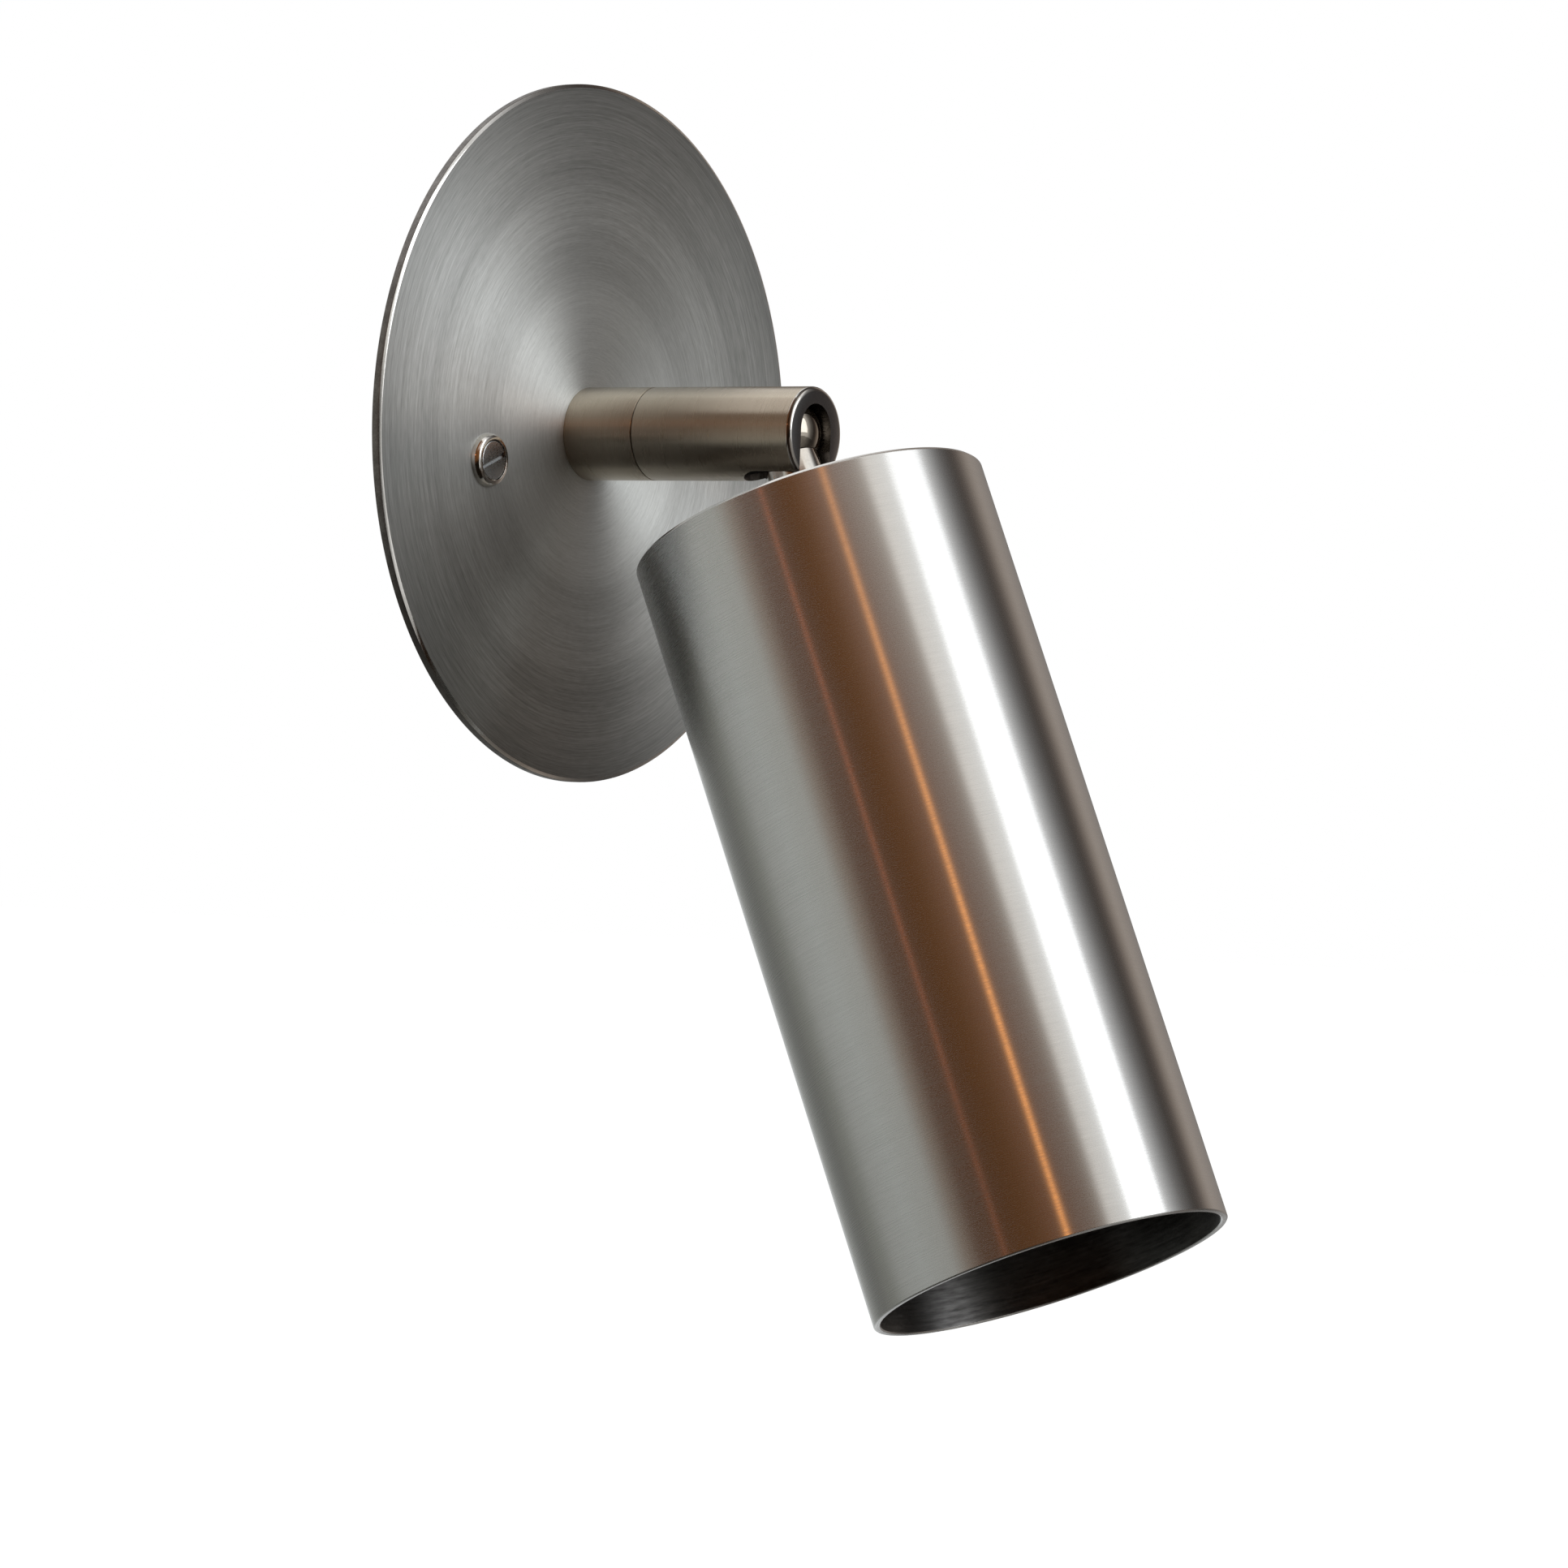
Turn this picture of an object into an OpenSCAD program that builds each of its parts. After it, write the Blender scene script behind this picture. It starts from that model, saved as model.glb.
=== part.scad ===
// Tube wall light: a round plate on the wall, a short round arm that turns on its foot,
// and a tube shade that tilts on a ball held in the arm's slotted end.
// The wall is the plane y = 0, the room lies towards -y and +z is up.
// The origin is the centre of the wall plate's back.

/* [Wall plate] */
// Diameter of the wall plate
plate_d = 120; // [112:1:140]
// Thickness of the wall plate
plate_t = 1.6; // [1.4:0.1:3]
// Bevel round the plate's front edge
plate_bevel = 0.6; // [0.2:0.1:0.7]
// Width of the rim at the back that rests on the wall
rim_w = 15; // [8:1:20]
// Depth of the turned relief inside that rim
relief_depth = 0.4; // [0.2:0.1:0.6]

/* [Plate screws] */
// Pitch of the two plate screws, which is that of a flush wall box
screw_pitch = 60; // [52:1:70]
// Turn of the screw line, left end down
screw_turn = 11.1; // [0:0.1:20]
// How far the middle of the screw line lies under the arm's axis
screw_drop = 0.8; // [0:0.1:2]
// Thread diameter of a plate screw
screw_d = 3.5; // [3:0.5:4]
// Diameter of the waist under the screw's head, where the thread runs out
screw_waist_d = 3; // [2.4:0.1:3]
// Length of a plate screw under its head
screw_len = 20; // [16:1:40]
// Diameter of the screw head
screw_head_d = 6.6; // [6:0.1:7]
// Height of the screw head
screw_head_h = 1; // [1:0.1:1.4]
// Width of the driver slot
driver_slot_w = 0.8; // [0.6:0.1:1]
// Depth of the driver slot
driver_slot_depth = 0.6; // [0.4:0.1:0.8]
// Turn of the driver slots from the screw line, as the fitter left them
driver_slot_turn = 11.4; // [0:0.1:180]
// Diameter of the turned cup round the head
cup_d = 9.2; // [9:0.1:11]
// Height of the cup
cup_h = 1.5; // [1.5:0.1:2.4]
// Floor of the cup under the head
cup_floor = 0.4; // [0.4:0.1:0.8]
// How much the cup's radius narrows on its way to the front edge
cup_taper = 0.35; // [0:0.05:0.4]
// Bevel round the cup's front edge
cup_bevel = 0.25; // [0.1:0.05:0.3]

/* [Arm] */
// Diameter of the arm and its collar
arm_d = 16; // [15.5:0.5:18]
// Length of the fixed collar at the arm's foot
collar_len = 14; // [10:1:24]
// Length of the turning arm tube
tube_len = 32.5; // [28:0.5:60]
// Wall of the arm tube
arm_wall = 1.2; // [1:0.1:1.4]
// Bevel round the arm tube's front edge
arm_bevel = 0.8; // [0.4:0.1:1]
// Fine bevel at the seams of collar and tube
seam_bevel = 0.1; // [0.1:0.05:0.3]

/* [Arm swivel] */
// Outer diameter of the hollow nipple that the arm turns on
nipple_d = 8; // [7.5:0.5:8]
// Bore of the nipple, for the leads
nipple_bore = 5.5; // [4:0.5:5.5]
// Length of the bush that closes the arm tube's rear end
bush_len = 4; // [3.5:0.5:6]
// Radial room between the arm tube and the round nut inside it
nut_room = 0.5; // [0.4:0.1:0.8]
// Depth of the two key flats on the round nut
nut_flat_depth = 0.6; // [0.4:0.1:0.8]
// Height of that nut
swivel_nut_h = 2.5; // [2:0.5:4]
// How far the nipple stands past the nut
nipple_front_spare = 0.3; // [0:0.1:1]
// Diameter of the pin that stops the arm's turn
stop_pin_d = 1.4; // [1:0.1:1.4]
// Length of the stop pin inside the collar
stop_pin_hold = 3; // [2:0.5:5]
// Length of the stop pin inside the bush
stop_pin_reach = 1.5; // [1:0.1:2]
// Turn of the arm from rest to its stop, each way
turn_limit = 160; // [120:1:164]

/* [Ball joint] */
// Metal left between the ball's round bore and the arm's end face
end_lip = 0.2; // [0.1:0.05:0.6]
// Width of the slot in the arm's end and underside
slot_w = 9; // [8.5:0.1:9.4]
// Height of the centre of the slot's round top over the arm's axis
slot_rise = 0.6; // [0:0.1:0.8]
// Length from the ball's centre to the shade's top
neck_len = 15.7; // [15:0.1:24]
// Distance from the ball's centre to the flat that the neck's shoulder seats on
ball_flat = 4.6; // [4.4:0.1:5]
// Length of the neck's thread inside the ball
neck_hold = 4; // [3:0.1:4.3]
// Bore through ball and neck, for the leads
lead_bore = 5; // [3:0.5:5]
// Tilt of the shade at rest, from straight down
shade_tilt = 23.5; // [0:0.5:60]
// Length of the cup that presses on the ball from behind
seat_len = 4.5; // [4:0.5:7]
// How far behind the ball's centre the cup's front edge lies
seat_setback = 4; // [3.5:0.1:5]
// Bore of the cup, the cup springs and the preload ring
seat_bore = 6.4; // [5:0.2:7]
// Thickness of a cup spring
spring_t = 0.5; // [0.4:0.05:0.6]
// Rise of a cup spring's cone
spring_rise = 0.3; // [0.2:0.05:0.4]
// Height of the preload ring
preload_h = 2; // [1.5:0.5:4]
// Diameter of the key holes in the preload ring
key_hole_d = 1.4; // [1:0.1:1.6]

/* [Shade] */
// Outer diameter of the shade tube
shade_d = 61; // [60:1:80]
// Length of the shade tube
shade_len = 135; // [112:1:180]
// Wall of the shade tube
shade_wall = 1.2; // [1:0.1:1.6]
// Bevel round the tube's top edge
shade_top_bevel = 0.5; // [0.2:0.1:0.8]
// Bevel at the mouth's two edges
mouth_bevel = 0.2; // [0.1:0.05:0.4]
// Thickness of the cap in the tube's top
cap_t = 3; // [2:0.5:5]
// Diameter of the thread below the neck
neck_thread_d = 8; // [7:0.5:8]

/* [Lamp bracket] */
// Width of the bracket's strip
strip_w = 12; // [11:0.5:14]
// Thickness of the strip
strip_t = 1.2; // [1:0.1:1.5]
// Width over the bracket's legs
bracket_span = 36; // [34:1:40]
// Height of the bracket
bracket_h = 22; // [16:1:26]
// Length of each inward foot
foot_len = 10; // [9:0.5:11]

/* [Lampholder] */
// Length of the ceramic lampholder
holder_len = 33; // [32:0.5:33.5]
// Width of the lampholder
holder_w = 17; // [16:0.5:18]
// Height of the lampholder
holder_h = 17; // [14:0.5:20]
// Pitch of the lamp's two pins
pin_pitch = 10; // [9:0.5:10]
// Pitch of the two screws that hold the lampholder
holder_screw_pitch = 25; // [24:0.5:26]
// Diameter of those screws
small_screw_d = 3; // [2.5:0.5:3]
// Head diameter of the small screws
small_head_d = 5.5; // [5:0.1:5.6]
// Head height of the small screws
small_head_h = 2; // [1.5:0.1:2.5]

/* [Lamp] */
// Room between the reflector lamp and the shade's wall, all round
lamp_room = 4.3; // [3:0.1:6]
// Length of the lamp below its pins
lamp_len = 47; // [44:1:52]
// Diameter of the lamp's base
lamp_base_d = 27; // [24:1:30]
// Length of the lamp's base
lamp_base_len = 16; // [12:1:18]
// Length of the straight rim round the lens
lamp_rim_len = 7; // [6:0.5:9]
// Wall of the lamp's shell
lamp_wall = 1.2; // [1:0.1:2]
// Thickness of the lens
lens_t = 2; // [1.5:0.1:3]
// Diameter of a lamp pin's button
button_d = 4.8; // [4:0.1:5]
// Height of the button
button_h = 2.4; // [2:0.1:3]
// Diameter of a lamp pin's stem
stem_d = 3.2; // [2.5:0.1:3.5]
// Length of the stem under the button
stem_len = 3.6; // [3:0.1:4]

/* [Behind the plate] */
// Diameter of the washer behind the plate
washer_d = 20; // [16:1:24]
// Thickness of that washer
washer_t = 1; // [0.8:0.1:1.5]
// Thickness of the earth tag
tag_t = 0.8; // [0.5:0.1:1]
// Length of the earth tag above the nipple's centre
tag_len = 18; // [14:1:22]
// Width of the earth tag's tail
tag_w = 4; // [3:0.5:5]
// Thickness of the terminal bracket
carrier_t = 1; // [0.8:0.1:1.5]
// Width of the terminal bracket
carrier_w = 16; // [14:1:18]
// Thickness of a lock washer
lock_t = 0.8; // [0.6:0.1:1]
// Diameter of a lock washer
lock_d = 13; // [12:0.5:14]
// Width across the flats of the hexagon nuts
nut_af = 13; // [12:0.5:14]
// Height of the hexagon nuts
nut_h = 4; // [3:0.5:5]
// How far a thread stands past its hexagon nut
nut_spare = 1.5; // [0.5:0.5:3]
// Width of the terminal block
block_w = 30; // [28:1:31]
// Height of the terminal block
block_h = 14; // [13:1:15]
// Depth of the terminal block
block_depth = 12; // [11:0.5:14]
// Drop of the terminal block's centre below the nipple
block_drop = 16.5; // [16:0.5:17.5]
// Diameter of a terminal's brass sleeve
sleeve_d = 5; // [4.5:0.1:5.2]
// Bore of the sleeve, for a supply lead
sleeve_bore = 3; // [2.4:0.1:3.2]
// Diameter of a terminal screw
terminal_screw_d = 2.4; // [2:0.1:2.6]

/* [Clearances] */
// Axial gap between the turning arm and what it turns against
turn_gap = 0.2; // [0.15:0.05:0.3]
// Radial running clearance of the bush on the nipple
run_clear = 0.05; // [0.03:0.01:0.08]
// Radial clearance of a piece that is fixed in a bore
fit_clear = 0.05; // [0.03:0.01:0.08]
// Radial clearance round the ball
ball_clear = 0.1; // [0.08:0.01:0.15]
// Clearance between the slot and each flat of the neck
slot_clear = 0.15; // [0.1:0.05:0.3]
// Gap left between the upright neck and the slot's rear end
rear_clear = 1.4; // [0.8:0.1:2]
// Gap between the lamp and the face of its holder
seat_gap = 0.3; // [0.2:0.05:0.4]
// Radial clearance of a screw in its hole
hole_clear = 0.35; // [0.2:0.05:0.5]
// Radial clearance of a screw head in its well
head_clear = 0.15; // [0.1:0.05:0.3]

/* [Hidden] */
$fn = 96;

// Overrun of every cut past the face that it opens
over = 1;

// Places along the arm, as depths in front of the wall
collar_front = plate_t + collar_len;
tube_rear = collar_front + turn_gap;
arm_end = tube_rear + tube_len;
arm_r = arm_d / 2;
bore_r = arm_r - arm_wall;
ball_setback = bore_r + end_lip;
ball_depth = arm_end - ball_setback;
ball_r = bore_r - ball_clear;
neck_w = slot_w - 2 * slot_clear;
slot_rear = ball_depth - neck_w / 2 - slot_rise - rear_clear;

// Parts inside the arm tube, from its rear end to the ball
bush_front = tube_rear + bush_len;
spring_h = spring_t + spring_rise;
swivel_nut_rear = bush_front + turn_gap + spring_h;
swivel_nut_front = swivel_nut_rear + swivel_nut_h;
swivel_nut_r = bore_r - nut_room;
nipple_front = swivel_nut_front + nipple_front_spare;
seat_front = ball_depth - seat_setback;
seat_rear = seat_front - seat_len;
cup_springs_rear = seat_rear - 2 * spring_h;
preload_rear = cup_springs_rear - preload_h;

// Circle of the stop pin, half way through the wall of the bush
pin_circle_r = (nipple_d / 2 + bore_r) / 2;
pin_half_angle = asin((stop_pin_d / 2 + head_clear) / pin_circle_r);

// Stack behind the plate, as depths that fall below zero behind the wall's face
washer_back = relief_depth - washer_t;
tag_back = washer_back - tag_t;
carrier_back = tag_back - carrier_t;
lock_back = carrier_back - lock_t;
nut_back = lock_back - nut_h;
nipple_back = nut_back - nut_spare;
block_back = carrier_back - block_depth;
screw_seat = plate_t + cup_floor;

// Inside the terminal block, with its own depths counted from its rear face
poles = 3;
terminal_pitch = block_w / poles;
row_share = 0.3;
sleeve_depth_share = 1 / 3;
terminal_row = block_h * row_share;
sleeve_depth = block_depth * sleeve_depth_share;

// Stack inside the shade, as distances down the shade's axis from the ball's centre
cap_under = neck_len + cap_t;
strip_under = cap_under + strip_t;
neck_lock_under = strip_under + lock_t;
neck_nut_under = neck_lock_under + nut_h;
thread_end = neck_nut_under + nut_spare;
holder_top = cap_under + bracket_h;
holder_under = holder_top + holder_h;
lamp_top = holder_under + seat_gap;
lamp_front = lamp_top + lamp_len;
shade_r = shade_d / 2;
shade_in_r = shade_r - shade_wall;
lamp_r = shade_in_r - lamp_room;
button_top = lamp_top - stem_len - button_h;
key_r = button_d / 2 + head_clear;
holder_screw_len = holder_h + strip_t;

// Runs a piece that is drawn upward out from the wall, starting at a depth
module outward(depth) {
    rotate([90, 0, 0]) translate([0, 0, depth]) children();
}

// Runs a piece that is drawn upward down the shade's axis, starting below the ball
module hung(distance) {
    translate([0, -ball_depth, 0]) rotate([180 - shade_tilt, 0, 0])
        translate([0, 0, distance]) children();
}

// Round bar with a bore right through it
module ring(outer_r, inner_r, height) {
    difference() {
        cylinder(r = outer_r, h = height);
        translate([0, 0, -over]) cylinder(r = inner_r, h = height + 2 * over);
    }
}

// Round bar with bevels at its lower and upper edges
module bevelled_bar(r, height, low_bevel, top_bevel) {
    rotate_extrude() polygon([
        [0, 0], [r - low_bevel, 0], [r, low_bevel],
        [r, height - top_bevel], [r - top_bevel, height], [0, height]
    ]);
}

// Block that is centred across and stands on zero
module block(width, depth, height) {
    translate([-width / 2, -depth / 2, 0]) cube([width, depth, height]);
}

// Hexagon nut with its bore
module hex_nut(thread_d) {
    difference() {
        cylinder(r = nut_af / 2 / cos(30), h = nut_h, $fn = 6);
        translate([0, 0, -over]) cylinder(r = thread_d / 2 + fit_clear, h = nut_h + 2 * over);
    }
}

// Conical spring washer, wide end down
module cup_spring(outer_r, inner_r) {
    rotate_extrude() polygon([
        [outer_r, 0], [outer_r, spring_t], [inner_r, spring_h], [inner_r, spring_rise]
    ]);
}

// Cheese-head screw that points down, its head's seat at zero, with a driver slot
module slotted_screw(head_d, head_h, shank_d, length) {
    difference() {
        union() {
            cylinder(r = head_d / 2, h = head_h);
            translate([0, 0, -length]) bevelled_bar(shank_d / 2, length, shank_d / 8, 0);
        }
        translate([0, 0, head_h - driver_slot_depth])
            block(driver_slot_w, head_d + 2 * over, driver_slot_depth + over);
    }
}

// Both places of the plate screws, on the turned screw line
module at_plate_screws(depth) {
    for (side = [0, 180]) {
        translate([0, 0, -screw_drop]) rotate([0, -screw_turn, 0]) rotate([0, side, 0])
            outward(depth) translate([screw_pitch / 2, 0, 0]) children();
    }
}

// Slot for the neck, open to the end face and the underside of the arm,
// with a round top and a round rear end
module arm_slot() {
    slot_r = slot_w / 2;
    straight = arm_end + over - slot_rear - slot_r;
    translate([0, -arm_end - over, slot_rise - arm_d]) {
        translate([-slot_r, 0, 0]) cube([slot_w, straight, arm_d]);
        translate([0, straight, 0]) cylinder(r = slot_r, h = arm_d);
    }
    outward(ball_depth) translate([0, slot_rise, 0])
        cylinder(r = slot_r, h = ball_setback + over);
}

// Wall side: the pieces that stay still

// Round plate with a relieved back, a hole for the nipple and two for the screws
module wall_plate() {
    color("silver") difference() {
        outward(0) bevelled_bar(plate_d / 2, plate_t, 0, plate_bevel);
        outward(-over) cylinder(r = plate_d / 2 - rim_w, h = relief_depth + over);
        outward(-over) cylinder(r = nipple_d / 2 + fit_clear, h = plate_t + 2 * over);
        at_plate_screws(-over) cylinder(r = screw_d / 2 + hole_clear, h = plate_t + 2 * over);
    }
}

// Turned cups that the screw heads sit in
module screw_cups() {
    edge_r = cup_d / 2 - cup_taper;
    color("gainsboro") at_plate_screws(plate_t) difference() {
        rotate_extrude() polygon([
            [0, 0], [cup_d / 2, 0], [edge_r, cup_h - cup_bevel], [edge_r - cup_bevel, cup_h], [0, cup_h]
        ]);
        translate([0, 0, cup_floor]) cylinder(r = screw_head_d / 2 + head_clear, h = cup_h);
        translate([0, 0, -over]) cylinder(r = screw_d / 2 + hole_clear, h = cup_h);
    }
}

// Slotted screws into the wall box, each with a waist as far as the wall's face
module plate_screws() {
    thread_len = screw_len - screw_seat;
    color("gainsboro") at_plate_screws(screw_seat) difference() {
        union() {
            cylinder(r = screw_head_d / 2, h = screw_head_h);
            translate([0, 0, -screw_seat]) cylinder(r = screw_waist_d / 2, h = screw_seat);
            translate([0, 0, -screw_len]) bevelled_bar(screw_d / 2, thread_len, screw_d / 8, 0);
        }
        translate([0, 0, screw_head_h - driver_slot_depth]) rotate([0, 0, driver_slot_turn])
            block(screw_head_d + 2 * over, driver_slot_w, driver_slot_depth + over);
    }
}

// Fixed foot of the arm, clamped to the plate by the nipple
module arm_collar() {
    color("silver") difference() {
        outward(plate_t) bevelled_bar(arm_r, collar_len, seam_bevel, seam_bevel);
        outward(plate_t - over) cylinder(r = nipple_d / 2 + fit_clear, h = collar_len + 2 * over);
        outward(collar_front - stop_pin_hold) translate([0, pin_circle_r, 0])
            cylinder(r = stop_pin_d / 2 + fit_clear, h = stop_pin_hold + over);
    }
}

// Hollow nipple through plate, collar and bush, which carries the leads
module swivel_nipple() {
    color("goldenrod") outward(nipple_back)
        ring(nipple_d / 2, nipple_bore / 2, nipple_front - nipple_back);
}

// Pin in the collar that runs in the bush's groove and stops the arm's turn
module stop_pin() {
    color("gray") outward(collar_front - stop_pin_hold) translate([0, pin_circle_r, 0])
        cylinder(r = stop_pin_d / 2, h = stop_pin_hold + turn_gap + stop_pin_reach);
}

// Conical spring washer that gives the arm's turn its friction
module swivel_spring() {
    color("gray") outward(bush_front + turn_gap)
        cup_spring(swivel_nut_r, nipple_d / 2 + fit_clear);
}

// Round nut on the nipple inside the arm tube, with two flats for its key
module swivel_nut() {
    color("goldenrod") outward(swivel_nut_rear) intersection() {
        ring(swivel_nut_r, nipple_d / 2 + fit_clear, swivel_nut_h);
        block(2 * (swivel_nut_r - nut_flat_depth), 2 * swivel_nut_r, swivel_nut_h);
    }
}

// Wide washer against the plate's relieved back
module nipple_washer() {
    color("gray") outward(washer_back) ring(washer_d / 2, nipple_d / 2 + fit_clear, washer_t);
}

// Ring tag for the earth lead, with a tail that points up
module earth_tag() {
    color("goldenrod") outward(tag_back) difference() {
        union() {
            cylinder(r = nut_af / 2, h = tag_t);
            translate([-tag_w / 2, 0, 0]) cube([tag_w, tag_len, tag_t]);
        }
        translate([0, 0, -over]) cylinder(r = nipple_d / 2 + fit_clear, h = tag_t + 2 * over);
        translate([0, tag_len - tag_w / 2, -over]) cylinder(r = tag_w / 4, h = tag_t + 2 * over);
    }
}

// Steel strip on the nipple that carries the terminal block
module terminal_bracket() {
    top = nut_af / 2;
    drop = block_drop + block_h / 2;
    color("gray") outward(carrier_back) difference() {
        translate([-carrier_w / 2, -drop, 0]) cube([carrier_w, top + drop, carrier_t]);
        translate([0, 0, -over]) cylinder(r = nipple_d / 2 + fit_clear, h = carrier_t + 2 * over);
        at_bracket_screws() translate([0, 0, -over])
            cylinder(r = small_screw_d / 2 + fit_clear, h = carrier_t + 2 * over);
    }
}

// Spring washer under the nipple's nut
module nipple_lock_washer() {
    color("gray") outward(lock_back) ring(lock_d / 2, nipple_d / 2 + fit_clear, lock_t);
}

// Hexagon nut that clamps the plate to the collar
module nipple_nut() {
    color("goldenrod") outward(nut_back) hex_nut(nipple_d);
}

// Places of the poles of the terminal block, in the middle of its height
module at_poles() {
    for (pole = [0 : poles - 1]) {
        translate([(pole - (poles - 1) / 2) * terminal_pitch, -block_drop, 0]) children();
    }
}

// Places of the terminal screws, two for each pole
module at_terminal_screws() {
    at_poles() for (row = [-1, 1]) {
        translate([0, row * terminal_row, 0]) children();
    }
}

// Places of the screws that hold the block, between its poles
module at_bracket_screws() {
    for (side = [-1, 1]) {
        translate([side * terminal_pitch / 2, -block_drop, 0]) children();
    }
}

// Block for the supply leads, with a well for each screw
module terminal_block() {
    color("white") outward(block_back) difference() {
        translate([0, -block_drop, 0]) block(block_w, block_h, block_depth);
        at_poles() translate([0, block_h / 2 + over, sleeve_depth]) rotate([90, 0, 0])
            cylinder(r = sleeve_d / 2 + fit_clear, h = block_h + 2 * over);
        at_terminal_screws() translate([0, 0, -over])
            cylinder(r = terminal_screw_d / 2 + head_clear, h = sleeve_depth + over);
        at_bracket_screws() translate([0, 0, -over]) {
            cylinder(r = small_screw_d / 2 + fit_clear, h = block_depth + 2 * over);
            cylinder(r = small_head_d / 2 + head_clear, h = small_head_h + over);
        }
    }
}

// Brass sleeves in the block, each drilled for its two screws
module terminal_sleeves() {
    color("goldenrod") outward(block_back) difference() {
        at_poles() translate([0, block_h / 2, sleeve_depth]) rotate([90, 0, 0])
            ring(sleeve_d / 2, sleeve_bore / 2, block_h);
        at_terminal_screws() translate([0, 0, -over])
            cylinder(r = terminal_screw_d / 2 + fit_clear, h = sleeve_depth + over);
    }
}

// Grub screws that clamp the leads in the sleeves, sunk into the block
module terminal_screws() {
    sunk = terminal_screw_d / 4;
    length = sleeve_depth - sleeve_bore / 4 - sunk;
    color("gray") outward(block_back) at_terminal_screws() translate([0, 0, sunk]) difference() {
        cylinder(r = terminal_screw_d / 2, h = length);
        translate([0, 0, -over])
            block(driver_slot_w / 2, 2 * terminal_screw_d, over + driver_slot_depth);
    }
}

// Screws that hold the terminal block on its bracket
module bracket_screws() {
    length = block_depth - small_head_h + carrier_t;
    color("silver") outward(block_back + small_head_h) at_bracket_screws() mirror([0, 0, 1])
        slotted_screw(small_head_d, small_head_h, small_screw_d, length);
}

// Turning arm: what turns on the nipple

// Arm tube with a round-ended bore for the ball and the slot for its neck
module arm_tube() {
    color("silver") difference() {
        outward(tube_rear) bevelled_bar(arm_r, tube_len, seam_bevel, arm_bevel);
        outward(tube_rear - over) cylinder(r = bore_r, h = ball_depth - tube_rear + over);
        outward(ball_depth) sphere(r = bore_r);
        arm_slot();
    }
}

// Bush in the tube's rear end, with the groove that the stop pin runs in
module swivel_bush() {
    groove_depth = stop_pin_reach + turn_gap;
    groove_half_w = stop_pin_d / 2 + head_clear;
    land_half_angle = 180 - turn_limit - pin_half_angle;
    land_r = bore_r / cos(land_half_angle);
    color("goldenrod") outward(tube_rear) difference() {
        ring(bore_r - fit_clear, nipple_d / 2 + run_clear, bush_len);
        difference() {
            translate([0, 0, -over]) ring(
                pin_circle_r + groove_half_w,
                pin_circle_r - groove_half_w,
                groove_depth + over
            );
            translate([0, 0, -2 * over]) linear_extrude(height = groove_depth + 3 * over)
                polygon([
                    [0, 0],
                    [land_r * sin(land_half_angle), -land_r * cos(land_half_angle)],
                    [-land_r * sin(land_half_angle), -land_r * cos(land_half_angle)]
                ]);
        }
    }
}

// Moulded cup that presses on the ball from behind, notched for the neck
module ball_seat() {
    color("dimgray") difference() {
        outward(seat_rear) ring(bore_r - fit_clear, seat_bore / 2, seat_len);
        outward(ball_depth) sphere(r = bore_r);
        arm_slot();
    }
}

// Two conical springs back to back that load the cup
module cup_springs() {
    color("gray") {
        outward(cup_springs_rear + spring_h) mirror([0, 0, 1])
            cup_spring(bore_r - head_clear, seat_bore / 2);
        outward(cup_springs_rear + spring_h) cup_spring(bore_r - head_clear, seat_bore / 2);
    }
}

// Threaded ring that sets the load, with two key holes
module preload_ring() {
    color("goldenrod") outward(preload_rear) difference() {
        ring(bore_r - fit_clear, seat_bore / 2, preload_h);
        for (side = [-1, 1]) {
            translate([side * (seat_bore / 2 + bore_r) / 2, 0, -over])
                cylinder(r = key_hole_d / 2, h = preload_h + 2 * over);
        }
    }
}

// Shade side: what tilts with the ball

// Ball with a flat and a threaded hole for the neck, cut open at the back for the leads
module swivel_ball() {
    back = ball_r + over;
    color("gainsboro") hung(0) difference() {
        sphere(r = ball_r);
        translate([0, 0, ball_flat]) block(2 * ball_r, 2 * ball_r, ball_r);
        cylinder(r = neck_thread_d / 2 + fit_clear, h = ball_r);
        translate([-lead_bore / 2, -back, -back])
            cube([lead_bore, back + lead_bore / 2, back + lead_bore / 2]);
    }
}

// Neck with flat sides that fills the slot, screwed into the ball and through the cap
module ball_neck() {
    thread_top = ball_flat - neck_hold;
    color("gainsboro") hung(0) difference() {
        union() {
            translate([0, 0, ball_flat]) {
                block(neck_w, 2 * slot_rise, neck_len - ball_flat);
                for (side = [-1, 1]) {
                    translate([0, side * slot_rise, 0])
                        cylinder(r = neck_w / 2, h = neck_len - ball_flat);
                }
            }
            translate([0, 0, thread_top])
                cylinder(r = neck_thread_d / 2, h = thread_end - thread_top);
        }
        cylinder(r = lead_bore / 2, h = thread_end + over);
    }
}

// Round cap that closes the shade's top and carries everything inside
module shade_cap() {
    color("silver") hung(neck_len) ring(shade_in_r - fit_clear, neck_thread_d / 2 + fit_clear, cap_t);
}

// Straight tube of the shade, open at its lower end
module shade_tube() {
    color("silver") hung(neck_len) difference() {
        bevelled_bar(shade_r, shade_len, shade_top_bevel, mouth_bevel);
        translate([0, 0, -over]) cylinder(r = shade_in_r, h = shade_len + 2 * over);
        translate([0, 0, shade_len - mouth_bevel])
            cylinder(r1 = shade_in_r, r2 = shade_in_r + 2 * mouth_bevel, h = 2 * mouth_bevel);
    }
}

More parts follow.
